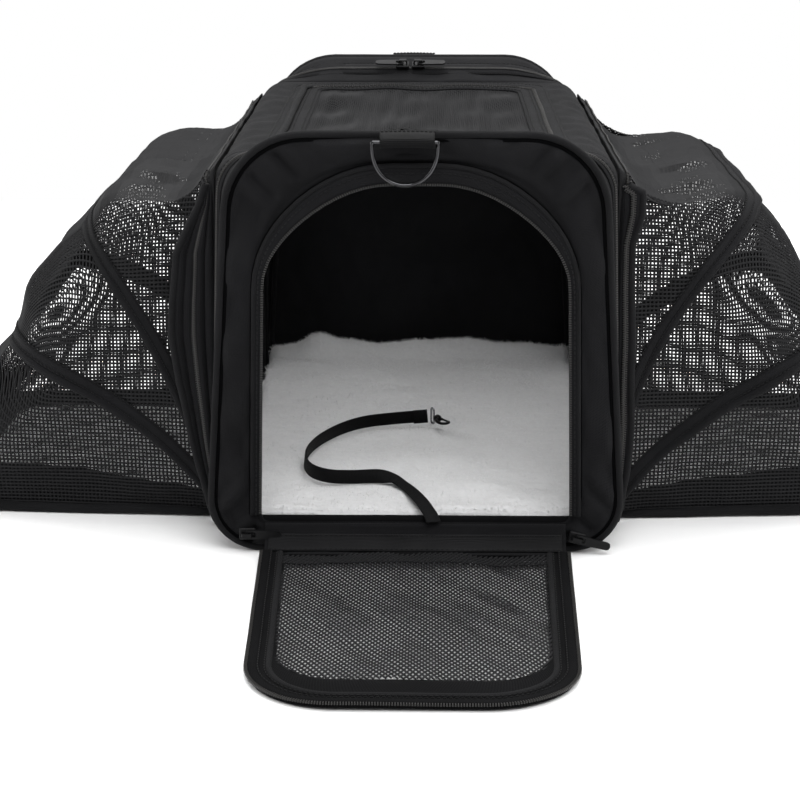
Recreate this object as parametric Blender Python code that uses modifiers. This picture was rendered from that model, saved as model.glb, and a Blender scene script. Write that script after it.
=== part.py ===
"""Soft-sided pet carrier bag, seen with its end door folded down and both side wings expanded.

Frame: metres, +Z up, +X to the right of the door, -Y out of the door.
Origin: on the floor, under the middle of the bag's body.
The body is a fabric box between two stiff end frames. Each long side opens into a mesh wing,
which is a fan of two sprung hoops and a floor panel that all turn about one line by the bottom edge.
"""
import math

import bmesh
import bpy
from mathutils import Matrix, Vector

# ---------------------------------------------------------------- driving dimensions
BODY_LENGTH = 0.457        # between the outer faces of the two end frames
END_HEIGHT = 0.286         # end frames, floor to top
END_HALF_BOTTOM = 0.1425   # half width of the end frames where their sides meet the floor
END_HALF_TOP = 0.124       # half width of the end frames where their sides meet the top
MID_HEIGHT = 0.268         # the fabric top between the end frames hangs lower
MID_HALF = 0.1355
GUSSET_DEPTH = 0.0385      # strip of fabric behind each end frame
GAP = 0.0003               # between faces that touch
FABRIC = 0.0020            # sewn fabric wall
PANEL = 0.0025             # padded end panels
PIPING_R = 0.0027
WIRE_R = 0.0015

ARCH_HALF = 0.1045         # door opening, at its foot
ARCH_HALF_TOP = 0.0985
ARCH_FOOT = 0.0205
ARCH_TOP = 0.264
ARCH_R = 0.085

DOOR_HALF = 0.104          # door flap, lying on the floor
DOOR_HALF_TIP = 0.096
DOOR_LENGTH = 0.248
DOOR_THICK = 0.003
DOOR_START = 0.0085        # hinge edge, in front of the end frame's outer face
DOOR_BORDER = 0.0165
DOOR_BACK = 0.008          # border along the hinge
DOOR_ZIP_WIDTH = 0.007
DOOR_PIVOT_Z = 0.0045
DOOR_PIVOT_AHEAD = 0.0070  # from the end frame's outer face

TOP_DOOR_HALF = 0.093
TOP_DOOR_HALF_LENGTH = 0.166
TOP_DOOR_THICK = 0.0012

BOARD_TOP = 0.0070
PAD_TOP = 0.0245
PAD_HALF = 0.1312
PAD_END_HALF = 0.1185
PAD_HALF_LENGTH = 0.2215

PIVOT_X = 0.136            # line about which hoops and floor panel turn
PIVOT_Z = 0.010
HOOP_WIRE_R = 0.0020
BINDING_WIDTH = 0.010
MESH_THICK = 0.0010
FLOOR_OUTER = 0.392
FLOOR_THICK = 0.005
FLOOR_WINDOW_X = (0.225, 0.330)
FLOOR_WINDOW_HALF = 0.062
# (top bar x, top bar z, half length along Y, radius of the upper corners)
HOOPS = {
    "left": {"hoop_1": (0.230, 0.208, 0.1755, 0.050), "hoop_2": (0.287, 0.122, 0.1685, 0.050)},
    "right": {"hoop_1": (0.238, 0.222, 0.1755, 0.066), "hoop_2": (0.287, 0.122, 0.1685, 0.050)},
}
# the sprung legs bow towards the body by this much at mid height
BOWS = {"left": {"hoop_1": 0.010, "hoop_2": 0.014}, "right": {"hoop_1": 0.026, "hoop_2": 0.014}}
SIDES = {"left": -1.0, "right": 1.0}
# outer edge of the fabric that is bunched beside each front corner, as (x, z)
FIN_EDGE = {
    "left": [(0.1430, 0.020), (0.1494, 0.047), (0.1554, 0.081), (0.1614, 0.109), (0.1650, 0.142),
             (0.1645, 0.165), (0.1607, 0.198), (0.1515, 0.217), (0.1444, 0.231)],
    "right": [(0.1420, 0.020), (0.1455, 0.045), (0.1465, 0.080), (0.1455, 0.143), (0.1440, 0.205),
              (0.1500, 0.226), (0.1500, 0.240), (0.1420, 0.243)],
}

TAB_X = -0.0055            # the ring tabs are sewn a little off centre
TAB_WIDTH = 0.035
RING_X = -0.0070           # each ring has slid to one side in its tab
RING_AHEAD = 0.0140        # ring bar, in front of the end frame's outer face
RING_Z = 0.2805
RING_HALF = 0.0211
RING_DROP = 0.0274

# tether: its route over the pad, from the seam at the foot of the door opening to its hook
TETHER_ROUTE = [
    (0.0125, -0.2330, 0.0228), (0.0105, -0.2260, 0.0255), (0.0080, -0.2170, 0.0264),
    (0.0035, -0.1980, 0.0264), (-0.0030, -0.1780, 0.0264), (-0.0095, -0.1640, 0.0268),
    (-0.0165, -0.1560, 0.0285), (-0.0270, -0.1555, 0.0300), (-0.0465, -0.1590, 0.0305),
    (-0.0620, -0.1570, 0.0305), (-0.0745, -0.1450, 0.0305), (-0.0805, -0.1240, 0.0305),
    (-0.0800, -0.0980, 0.0305), (-0.0725, -0.0690, 0.0305), (-0.0575, -0.0400, 0.0305),
    (-0.0400, -0.0215, 0.0305), (-0.0150, -0.0125, 0.0310), (0.0060, -0.0135, 0.0330),
]
TETHER_R = 0.0010
HOOK_TURN = -62.0          # direction of the hook on the pad, from +X, degrees
HOOK_FROM_STRAP = (0.0062, -0.0004, 0.0)
GATE_PIVOT = (0.0105, 0.00225)  # along and across the hook

SEAM_INSET = 0.0015        # sewn walls lie this far inside the outlines of the end frames
COIL_R = 0.0012            # zip coils
COIL_LIFT = 0.0010         # between a gusset's outer face and its zip coil
ZIP_TAPE_THICK = 0.0008
SLIDER_LENGTH = 0.0110
SLIDER_WIDTH = 0.0080
SLIDER_BASE = 0.0024
SLIDER_LIFT = 0.0034       # of the end zips' sliders above the gusset's fabric
BAR_HEIGHT = 0.0036        # pull's pivot above the underside of its slider
PULL_REACH = 0.0230
PULL_HALF = 0.0033
PULL_THICK = 0.0012
DOOR_PULL_DROOP = 14.0     # of the end door's right pull, below level, degrees

END_Y = BODY_LENGTH / 2    # outer face of each end frame
MID_Y = END_Y - GUSSET_DEPTH
ARC_STEPS = 5              # straight pieces in each rounded corner
ARCH_STEPS = 7
FLAP_STEPS = 6

# colours: (red, green, blue), roughness, metallic
FINISH = {
    "black_fabric": ((0.018, 0.018, 0.020), 0.80, 0.0),
    "black_mesh": ((0.022, 0.022, 0.024), 0.70, 0.0),
    "piping": ((0.028, 0.028, 0.030), 0.75, 0.0),
    "webbing": ((0.030, 0.030, 0.032), 0.75, 0.0),
    "zip_tape": ((0.024, 0.024, 0.026), 0.65, 0.0),
    "fleece": ((0.820, 0.810, 0.795), 0.95, 0.0),
    "board": ((0.060, 0.060, 0.060), 0.85, 0.0),
    "spring_steel": ((0.450, 0.450, 0.460), 0.35, 1.0),
    "bright_metal": ((0.720, 0.720, 0.730), 0.22, 1.0),
    "dark_metal": ((0.080, 0.080, 0.085), 0.35, 1.0),
}


# ---------------------------------------------------------------- scene helpers
def clear_scene():
    for old in list(bpy.data.objects):
        bpy.data.objects.remove(old, do_unlink=True)


def new_collection(name):
    collection = bpy.data.collections.new(name)
    bpy.context.scene.collection.children.link(collection)
    return collection


clear_scene()
PARTS = new_collection("pet_carrier_bag")
CUTTERS = new_collection("cutters")
MATERIALS = {}


def material(finish):
    if finish not in MATERIALS:
        colour, roughness, metallic = FINISH[finish]
        made = bpy.data.materials.new(finish)
        made.use_nodes = True
        shader = made.node_tree.nodes["Principled BSDF"]
        shader.inputs["Base Color"].default_value = (*colour, 1.0)
        shader.inputs["Roughness"].default_value = roughness
        shader.inputs["Metallic"].default_value = metallic
        MATERIALS[finish] = made
    return MATERIALS[finish]


def add_part(name, data, finish, matrix=None):
    part = bpy.data.objects.new(name, data)
    data.materials.append(material(finish))
    if matrix is not None:
        part.matrix_world = matrix
    PARTS.objects.link(part)
    return part


def set_origin(part, pivot):
    """Put the part's origin on its joint's axis without moving the part."""
    pivot = Vector(pivot)
    part.data.transform(Matrix.Translation(-pivot) @ part.matrix_world)
    part.matrix_world = Matrix.Translation(pivot)


# ---------------------------------------------------------------- outlines
def rounded(corners, radii, steps=ARC_STEPS):
    """A polygon's corners replaced by arcs. Each corner gives steps + 1 points."""
    points = []
    count = len(corners)
    for index, radius in enumerate(radii):
        here = Vector(corners[index])
        before = (Vector(corners[index - 1]) - here).normalized()
        after = (Vector(corners[(index + 1) % count]) - here).normalized()
        half_angle = before.angle(after) / 2
        centre = here + (before + after).normalized() * (radius / math.sin(half_angle))
        start = here + before * (radius / math.tan(half_angle)) - centre
        turn = math.pi - 2 * half_angle
        if before.cross(after) > 0:
            turn = -turn
        for step in range(steps + 1):
            spin = Matrix.Rotation(turn * step / steps, 2)
            points.append(centre + spin @ start)
    return points


def box_outline(low, high, radius, steps=ARC_STEPS):
    corners = [low, (high[0], low[1]), high, (low[0], high[1])]
    return rounded(corners, [radius] * 4, steps)


def taper_outline(half_low, half_high, low, high, radius_low, radius_high, grow=0.0):
    """A rounded trapezium that is symmetric about the vertical axis, grown by a margin."""
    corners = [
        (-half_low - grow, low - grow), (half_low + grow, low - grow),
        (half_high + grow, high + grow), (-half_high - grow, high + grow),
    ]
    radii = [radius_low + grow, radius_low + grow, radius_high + grow, radius_high + grow]
    return rounded(corners, radii)


def end_outline(grow=0.0):
    return taper_outline(END_HALF_BOTTOM, END_HALF_TOP, 0, END_HEIGHT, 0.036, 0.055, grow)


def mid_outline(grow=0.0):
    return taper_outline(MID_HALF, MID_HALF, 0, MID_HEIGHT, 0.020, 0.022, grow)


def arch_outline(grow=0.0):
    corners = [
        (-ARCH_HALF - grow, ARCH_FOOT - grow), (ARCH_HALF + grow, ARCH_FOOT - grow),
        (ARCH_HALF_TOP + grow, ARCH_TOP + grow), (-ARCH_HALF_TOP - grow, ARCH_TOP + grow),
    ]
    return rounded(corners, [0.006, 0.006, ARCH_R + grow, ARCH_R + grow], ARCH_STEPS)


def open_band(outer, inner, steps):
    """Both outlines without their first two corners' arcs, joined into one U-shaped band."""
    skip = 2 * (steps + 1)
    right_out, right_in = outer[skip - 1], inner[skip - 1]
    left_out, left_in = outer[0], inner[0]
    return [right_out, *outer[skip:], left_out, left_in, *reversed(inner[skip:]), right_in]


# ---------------------------------------------------------------- shapes
def plate(name, outlines, thick, finish, matrix):
    """Flat outlines (the first with the others as holes) thickened both ways from their plane."""
    curve = bpy.data.curves.new(name, "CURVE")
    curve.dimensions = "2D"
    curve.fill_mode = "BOTH"
    curve.extrude = thick / 2
    for outline in outlines:
        spline = curve.splines.new("POLY")
        spline.points.add(len(outline) - 1)
        for point, place in zip(spline.points, outline):
            point.co = (place[0], place[1], 0, 1)
        spline.use_cyclic_u = True
    return add_part(name, curve, finish, matrix)


def upright(y):
    """Plate plane XZ at the given Y: outline x stays X, outline y becomes Z."""
    return Matrix.Translation((0, y, 0)) @ Matrix.Rotation(math.pi / 2, 4, "X")


def level(z):
    return Matrix.Translation((0, 0, z))


def sideways(x):
    """Plate plane YZ at the given X: outline x becomes Y, outline y becomes Z."""
    turn = Matrix(((0, 0, 1, 0), (1, 0, 0, 0), (0, 1, 0, 0), (0, 0, 0, 1)))
    return Matrix.Translation((x, 0, 0)) @ turn


def tube(name, points, radius, finish, closed=False):
    curve = bpy.data.curves.new(name, "CURVE")
    curve.dimensions = "3D"
    curve.bevel_depth = radius
    curve.bevel_resolution = 2
    curve.use_fill_caps = not closed
    spline = curve.splines.new("POLY")
    spline.points.add(len(points) - 1)
    for point, place in zip(spline.points, points):
        point.co = (*place, 1)
    spline.use_cyclic_u = closed
    spline.use_smooth = True
    return add_part(name, curve, finish)


def sheet(name, rows, thick, finish, closed=False, offset=0.0):
    """A surface through rows of points, thickened into a solid wall."""
    mesh = bpy.data.meshes.new(name)
    build = bmesh.new()
    grid = [[build.verts.new(place) for place in row] for row in rows]
    for near, far in zip(grid, grid[1:]):
        last = len(near) if closed else len(near) - 1
        for index in range(last):
            after = (index + 1) % len(near)
            build.faces.new((near[index], near[after], far[after], far[index]))
    build.normal_update()
    build.to_mesh(mesh)
    build.free()
    part = add_part(name, mesh, finish)
    wall = part.modifiers.new("wall", "SOLIDIFY")
    wall.thickness = thick
    wall.offset = offset
    wall.use_even_offset = True
    return part


def block(name, size, centre, finish, bevel=0.0):
    mesh = bpy.data.meshes.new(name)
    build = bmesh.new()
    bmesh.ops.create_cube(build, size=1.0)
    bmesh.ops.scale(build, vec=size, verts=build.verts)
    bmesh.ops.translate(build, vec=centre, verts=build.verts)
    build.to_mesh(mesh)
    build.free()
    part = add_part(name, mesh, finish)
    if bevel:
        edge = part.modifiers.new("edge", "BEVEL")
        edge.width = bevel
        edge.segments = 1
    return part


def curve_to_mesh(part):
    """Replace a curve object by its welded mesh, so that it can take a Boolean."""
    evaluated = part.evaluated_get(bpy.context.evaluated_depsgraph_get())
    mesh = bpy.data.meshes.new_from_object(evaluated)
    weld = bmesh.new()
    weld.from_mesh(mesh)
    bmesh.ops.remove_doubles(weld, verts=weld.verts, dist=0.00001)
    weld.to_mesh(mesh)
    weld.free()
    matrix = part.matrix_world.copy()
    name = part.name
    bpy.data.objects.remove(part, do_unlink=True)
    made = bpy.data.objects.new(name, mesh)
    made.matrix_world = matrix
    PARTS.objects.link(made)
    return made


def combine(part, tool, operation):
    """Boolean with a tool object, which moves to the cutters."""
    PARTS.objects.unlink(tool)
    CUTTERS.objects.link(tool)
    tool.hide_render = True
    tool.display_type = "WIRE"
    step = part.modifiers.new(operation.lower(), "BOOLEAN")
    step.operation = operation
    step.object = tool


def smooth_path(route, per_span):
    """Points of a Catmull-Rom curve through a route."""
    knots = [Vector(place) for place in route]
    knots = [2 * knots[0] - knots[1], *knots, 2 * knots[-1] - knots[-2]]
    points = []
    for index in range(1, len(knots) - 2):
        a, b, c, d = knots[index - 1:index + 3]
        for step in range(per_span):
            t = step / per_span
            points.append(0.5 * (2 * b + (c - a) * t + (2 * a - 5 * b + 4 * c - d) * t * t
                                 + (3 * b - a - 3 * c + d) * t ** 3))
    points.append(knots[-2])
    return points


# ---------------------------------------------------------------- body
def build_end(end, sign):
    """End panel with its piping, hidden frame wire and gusset. sign is -1 at the door end."""
    face_y = sign * (END_Y - PANEL / 2)
    panel_outline = end_outline(-(2 * PIPING_R + GAP))
    outlines = [panel_outline, arch_outline()] if end == "front" else [panel_outline]
    plate(f"{end}_panel", outlines, PANEL, "black_fabric", upright(face_y))

    piping_y = sign * (END_Y - PANEL)
    piping = [(x, piping_y, z) for x, z in end_outline(-PIPING_R)]
    tube(f"{end}_piping", piping, PIPING_R, "piping", closed=True)

    gusset_y = piping_y - sign * (PIPING_R + 0.0008)
    inset = -SEAM_INSET
    seam_y = sign * (MID_Y + 0.0012)
    outer = [Vector((x, gusset_y, z)) for x, z in end_outline(inset - FABRIC / 2)]
    inner = [Vector((x, seam_y, z)) for x, z in mid_outline(inset - FABRIC / 2)]
    middle = [(a + b) / 2 for a, b in zip(outer, inner)]
    sheet(f"{end}_gusset", [outer, middle, inner], FABRIC, "black_fabric", closed=True)

    wire_y = piping_y - sign * (WIRE_R + 0.0005)
    wire = [(x, wire_y, z) for x, z in end_outline(-(2 * PIPING_R + 0.0035))]
    tube(f"{end}_frame_wire", wire, WIRE_R, "spring_steel", closed=True)

    # zip coil over the sides and top of the gusset, halfway along its depth
    half = (gusset_y + seam_y) / 2
    lift = inset + COIL_R + COIL_LIFT
    both = zip(end_outline(lift), mid_outline(lift))
    line = [((a[0] + b[0]) / 2, half, (a[1] + b[1]) / 2) for a, b in both]
    per_corner = ARC_STEPS + 1
    route = [*line[2 * per_corner - 1:], line[0]]
    tube(f"{end}_end_zip", route, COIL_R, "zip_tape")
    return half


def build_top():
    """Fabric top with its window, and the mesh door in the window."""
    section = mid_outline(-SEAM_INSET - FABRIC / 2)[2 * (ARC_STEPS + 1):]
    rows = [[(x, y, z) for x, z in section] for y in (-MID_Y, MID_Y)]
    panel = sheet("top_panel", rows, FABRIC, "black_fabric")
    clear = 0.0022
    half, half_length = TOP_DOOR_HALF + clear, TOP_DOOR_HALF_LENGTH + clear
    hole = box_outline((-half, -half_length), (half, half_length), 0.022)
    cutter = plate("top_window_cutter", [hole], 0.02, "black_fabric", level(MID_HEIGHT))
    combine(panel, curve_to_mesh(cutter), "DIFFERENCE")

    z = MID_HEIGHT - SEAM_INSET - TOP_DOOR_THICK / 2
    low, high = (-TOP_DOOR_HALF, -TOP_DOOR_HALF_LENGTH), (TOP_DOOR_HALF, TOP_DOOR_HALF_LENGTH)
    border = 0.012
    outer = box_outline(low, high, 0.020)
    window = box_outline((low[0] + border, low[1] + border), (high[0] - border, high[1] - border), 0.012)
    inner_low = (low[0] + border + 2 * GAP, low[1] + border + 2 * GAP)
    inner = box_outline(inner_low, (-inner_low[0], -inner_low[1]), 0.0115)
    pivot = (-TOP_DOOR_HALF, 0, MID_HEIGHT - SEAM_INSET)
    frame = plate("top_door_border", [outer, window], TOP_DOOR_THICK, "zip_tape", level(z))
    mesh = plate("top_door_mesh", [inner], MESH_THICK, "black_mesh", level(z))
    for part in (frame, mesh):
        set_origin(part, pivot)


def build_floor():
    half_length = MID_Y - GAP
    low, high = (-0.131, -half_length), (0.131, half_length)
    plate("bottom_panel", [box_outline(low, high, 0.004, 1)], 0.003, "black_fabric", level(0.0015))
    board_low = 0.0045
    board = box_outline((-0.111, -0.2195), (0.111, 0.2195), 0.015, 3)
    plate("base_board", [board], BOARD_TOP - board_low, "board", level((BOARD_TOP + board_low) / 2))
    pad_low = BOARD_TOP + GAP
    # the pad's ends are narrower, between the gussets
    corner = [(PAD_HALF, 0.162), (PAD_END_HALF, 0.172), (PAD_END_HALF, PAD_HALF_LENGTH)]
    right = [(x, -y) for x, y in reversed(corner)] + corner
    outline = right + [(-x, y) for x, y in reversed(right)]
    plate("fleece_pad", [outline], PAD_TOP - pad_low, "fleece", level((PAD_TOP + pad_low) / 2))


def build_side_tapes():
    """Zip tape round the open long sides: two pillars and a top strip, with a fin of bunched fabric
    that stands out from the front pillar."""
    outer = [(-0.190, 0.004), (-0.190, 0.2555), (0.190, 0.2555), (0.190, 0.004)]
    inner = [(0.183, 0.004), (0.183, 0.2455), (-0.183, 0.2455), (-0.183, 0.004)]
    fin_y, root, thick = -0.1885, 0.1371, 0.002
    for side, sign in SIDES.items():
        place = sideways(sign * 0.1375)
        tape = curve_to_mesh(plate(f"{side}_side_zip_tape", [outer + inner], 0.002, "zip_tape", place))
        edge = [(root, 0.006), *FIN_EDGE[side], (root, 0.244)]
        edge = [(sign * x, z) for x, z in edge]
        tool = curve_to_mesh(plate(f"{side}_fin", [edge], thick, "zip_tape", upright(fin_y)))
        combine(tape, tool, "UNION")


# ---------------------------------------------------------------- door flap
def flap_outline(inset, back, radius):
    """The flap's outline moved in by a margin at its sides and tip, and by back at its hinge."""
    hinge_y = -END_Y - DOOR_START
    tip_y = hinge_y - DOOR_LENGTH
    corners = [
        (-DOOR_HALF_TIP + inset, tip_y + inset), (DOOR_HALF_TIP - inset, tip_y + inset),
        (DOOR_HALF - inset, hinge_y - back), (-DOOR_HALF + inset, hinge_y - back),
    ]
    return rounded(corners, [radius, radius, 0.003, 0.003], FLAP_STEPS)


def build_door():
    """The end door: a bordered mesh flap, its half of the zip, and the other half round the opening."""
    pivot = (0, -END_Y - DOOR_PIVOT_AHEAD, DOOR_PIVOT_Z)
    border, back = DOOR_BORDER, DOOR_BACK
    outlines = [flap_outline(0, 0, 0.055), flap_outline(border, back, 0.040)]
    frame = plate("door_border", outlines, DOOR_THICK, "black_fabric", level(DOOR_THICK / 2))
    fill = flap_outline(border + 2 * GAP, back + 2 * GAP, 0.0395)
    mesh = plate("door_mesh", [fill], MESH_THICK, "black_mesh", level(0.0014))

    # the flap's half of the zip follows its sides and tip, and stays open at the hinge
    tip_points = 2 * (FLAP_STEPS + 1)
    edge, start_y = 0.001, -END_Y - DOOR_START - 0.004
    outer = flap_outline(edge, edge, 0.054)[:tip_points]
    inner = flap_outline(edge + DOOR_ZIP_WIDTH, edge, 0.048)[:tip_points]
    far, near = DOOR_HALF - edge, DOOR_HALF - edge - DOOR_ZIP_WIDTH
    band = [(-far, start_y), *outer, (far, start_y), (near, start_y), *reversed(inner), (-near, start_y)]
    level_z = DOOR_THICK + GAP + ZIP_TAPE_THICK / 2
    zip_half = plate("door_zip_half", [band], ZIP_TAPE_THICK, "zip_tape", level(level_z))
    for part in (frame, mesh, zip_half):
        set_origin(part, pivot)

    arch_band = open_band(arch_outline(0.006), arch_outline(-0.003), ARCH_STEPS)
    face = -END_Y - GAP - ZIP_TAPE_THICK / 2
    plate("door_zip_tape", [arch_band], ZIP_TAPE_THICK, "zip_tape", upright(face))


# ---------------------------------------------------------------- wings
def hoop_path(side, hoop):
    """Centre line of a hoop: pivot, bowed leg, corner, top bar, corner, bowed leg, pivot."""
    sign = SIDES[side]
    top_x, top_z, half, radius = HOOPS[side][hoop]
    bow = BOWS[side][hoop]
    foot = Vector((sign * PIVOT_X, 0, PIVOT_Z))
    rise = Vector((sign * top_x, 0, top_z)) - foot
    length = rise.length
    up = rise.normalized()
    towards_body = Vector((-sign * up.z, 0, abs(up.x)))
    straight = length - radius
    flat = [(-half, straight * step / 5) for step in range(5)]
    for step in range(6):
        angle = math.pi / 2 * step / 5
        flat.append((-half + radius * (1 - math.cos(angle)), straight + radius * math.sin(angle)))
    flat += [(-half / 3, length)]
    flat += [(-y, height) for y, height in reversed(flat)]
    points = []
    for y, height in flat:
        share = height / length
        bulge = 4 * bow * share * (1 - share)
        points.append(foot + up * height + towards_body * bulge + Vector((0, y, 0)))
    return points


def body_path(side):
    """The wing's seam on the body, with as many points as a hoop: pillar, top strip, pillar."""
    sign = SIDES[side]
    x, half, low, top = sign * 0.1402, 0.1850, 0.030, 0.2500
    flat = [(-half, low + (top - low) * step / 8) for step in range(9)]
    flat += [(-half + 0.02, top), (-half + 0.06, top), (-half / 3, top)]
    flat += [(-y, z) for y, z in reversed(flat)]
    return [Vector((x, y, z)) for y, z in flat]


def floor_path(side):
    """The wing's seam on the floor panel's upper face, with as many points as a hoop."""
    sign = SIDES[side]
    inner, outer, z = 0.150, FLOOR_OUTER - 0.004, FLOOR_THICK + 0.0015
    half_inner, half_outer, radius = 0.157, 0.142, 0.048
    flat = []
    for step in range(5):
        share = step / 5
        x = inner + (outer - radius - inner) * share
        flat.append((-half_inner + (half_inner - half_outer) * share, x))
    for step in range(6):
        angle = math.pi / 2 * step / 5
        flat.append((-half_outer + radius * (1 - math.cos(angle)), outer - radius * (1 - math.sin(angle))))
    flat += [(-half_outer / 3, outer)]
    flat += [(-y, x) for y, x in reversed(flat)]
    return [Vector((sign * x, y, z)) for y, x in flat]


def between(name, near, far, near_margin, far_margin, finish, thick, width=None):
    """A thin wall between two seams, kept the given margins from their centre lines.

    With a width, only a band of that width next to the far margin is made.
    """
    least = near_margin + far_margin + (width or 0.006) + 0.004
    rows = [[], [], []]
    for start, end in list(zip(near, far))[1:-1]:
        span = (end - start).length
        if span < least:
            continue
        along = (end - start) / span
        first = near_margin if width is None else span - far_margin - width
        last = span - far_margin
        for row, reach in zip(rows, (first, (first + last) / 2, last)):
            row.append(start + along * reach)
    if width is not None:
        rows = [rows[0], rows[2]]
    return sheet(name, rows, thick, finish)


def floor_window(sign, grow):
    """Outline of the mesh window in a floor panel, grown by a margin."""
    near, far = sorted((sign * FLOOR_WINDOW_X[0], sign * FLOOR_WINDOW_X[1]))
    low = (near - grow, -FLOOR_WINDOW_HALF - grow)
    high = (far + grow, FLOOR_WINDOW_HALF + grow)
    return box_outline(low, high, 0.025 + grow, 4)


def build_wing(side):
    sign = SIDES[side]
    paths = {hoop: hoop_path(side, hoop) for hoop in HOOPS[side]}
    seam, ground = body_path(side), floor_path(side)
    clear = HOOP_WIRE_R + 0.0012
    before = {"hoop_1": seam, "hoop_2": paths["hoop_1"]}
    pivot = (sign * PIVOT_X, 0, PIVOT_Z)
    moving = []
    for hoop, path in paths.items():
        moving.append(tube(f"{side}_{hoop}_wire", path, HOOP_WIRE_R, "spring_steel"))
        moving.append(between(f"{side}_{hoop}_binding", before[hoop], path, clear, clear,
                              "webbing", 0.0012, BINDING_WIDTH))
    behind_band = clear + BINDING_WIDTH + 0.0006
    between(f"{side}_mesh_inner", seam, paths["hoop_1"], 0.0012, behind_band, "black_mesh", MESH_THICK)
    between(f"{side}_mesh_middle", paths["hoop_1"], paths["hoop_2"], clear, behind_band,
            "black_mesh", MESH_THICK)
    between(f"{side}_mesh_outer", paths["hoop_2"], ground, clear, 0.0012, "black_mesh", MESH_THICK)

    inner, half_in, half_out = 0.142, 0.160, 0.145
    corners = [(sign * inner, -half_in), (sign * FLOOR_OUTER, -half_out),
               (sign * FLOOR_OUTER, half_out), (sign * inner, half_in)]
    outer = rounded(corners, [0.004, 0.050, 0.050, 0.004], 4)
    half_way = level(FLOOR_THICK / 2)
    outlines = [outer, floor_window(sign, 0)]
    moving.append(plate(f"{side}_floor_border", outlines, FLOOR_THICK, "black_fabric", half_way))
    fill = floor_window(sign, -2 * GAP)
    moving.append(plate(f"{side}_floor_mesh", [fill], MESH_THICK, "black_mesh", half_way))
    for part in moving:
        set_origin(part, pivot)


# ---------------------------------------------------------------- hardware
def frame_at(place, along, up):
    """Local X along, local Z up."""
    along, up = Vector(along).normalized(), Vector(up).normalized()
    across = up.cross(along)
    turn = Matrix((along, across, up)).transposed().to_4x4()
    return Matrix.Translation(place) @ turn


def build_slider(name, pull_name, place, along, up):
    """A zip slider with its bridge, and the pull whose cross bar sits under the bridge."""
    matrix = frame_at(place, along, up)
    size = (SLIDER_LENGTH, SLIDER_WIDTH, SLIDER_BASE)
    base = block(name, size, (0, 0, SLIDER_BASE / 2), "dark_metal", 0.0006)
    arch = [(-0.0040, 0.0016), (-0.0040, 0.0046), (-0.0030, 0.0064), (0.0030, 0.0064), (0.0040, 0.0046),
            (0.0040, 0.0016), (0.0028, 0.0016), (0.0028, 0.0042), (0.0022, 0.0052), (-0.0022, 0.0052),
            (-0.0028, 0.0042), (-0.0028, 0.0016)]
    bridge = curve_to_mesh(plate(f"{name}_bridge", [arch], 0.0024, "dark_metal", upright(0)))
    combine(base, bridge, "UNION")
    for part in (base, bridge):
        part.matrix_world = matrix @ part.matrix_world

    bar, tip_half = PULL_THICK / 2, PULL_HALF * 0.8
    corners = [(-bar, -PULL_HALF), (PULL_REACH, -tip_half), (PULL_REACH, tip_half), (-bar, PULL_HALF)]
    outline = rounded(corners, [0.0005, 0.0022, 0.0022, 0.0005], 2)
    slot = box_outline((bar, -0.0017), (bar + 0.0052, 0.0017), 0.0004, 1)
    plate(pull_name, [outline, slot], PULL_THICK, "dark_metal", matrix @ level(BAR_HEIGHT))


def gusset_normal(sign):
    """Outward normal of the gusset's sloping top."""
    rise = END_HEIGHT - MID_HEIGHT
    return Vector((0, -sign * rise, GUSSET_DEPTH - PANEL - PIPING_R)).normalized()


def on_gusset(x, sign, zip_y):
    """Place of an end zip's slider, over the coil."""
    z = (END_HEIGHT + MID_HEIGHT) / 2 - SEAM_INSET
    return Vector((x, sign * zip_y, z)) + gusset_normal(sign) * SLIDER_LIFT


def build_sliders(zip_y):
    meet = -0.008
    beside = 0.0065
    left, right, forward, up = (-1, 0, 0), (1, 0, 0), (0, -1, 0), (0, 0, 1)
    front_up, rear_up = gusset_normal(-1), gusset_normal(1)
    build_slider("front_zip_slider", "front_zip_pull", on_gusset(meet, -1, zip_y), right, front_up)
    place = on_gusset(meet - beside, 1, zip_y)
    build_slider("rear_zip_slider_left", "rear_zip_pull_left", place, left, rear_up)
    place = on_gusset(meet + beside, 1, zip_y)
    build_slider("rear_zip_slider_right", "rear_zip_pull_right", place, right, rear_up)
    place = (0.03, -TOP_DOOR_HALF_LENGTH - 0.0085, MID_HEIGHT - 0.0010)
    build_slider("top_door_slider", "top_door_pull", place, right, up)
    # the end door's sliders wait at both feet of its opening
    y = -END_Y - 2 * ZIP_TAPE_THICK
    droop = math.radians(DOOR_PULL_DROOP)
    drooping = (math.cos(droop), 0, -math.sin(droop))
    build_slider("door_slider_right", "door_pull_right", (ARCH_HALF + 0.0045, y, 0.0115), drooping, forward)
    build_slider("door_slider_left", "door_pull_left", (-ARCH_HALF - 0.009, y, 0.0135), right, forward)


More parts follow.
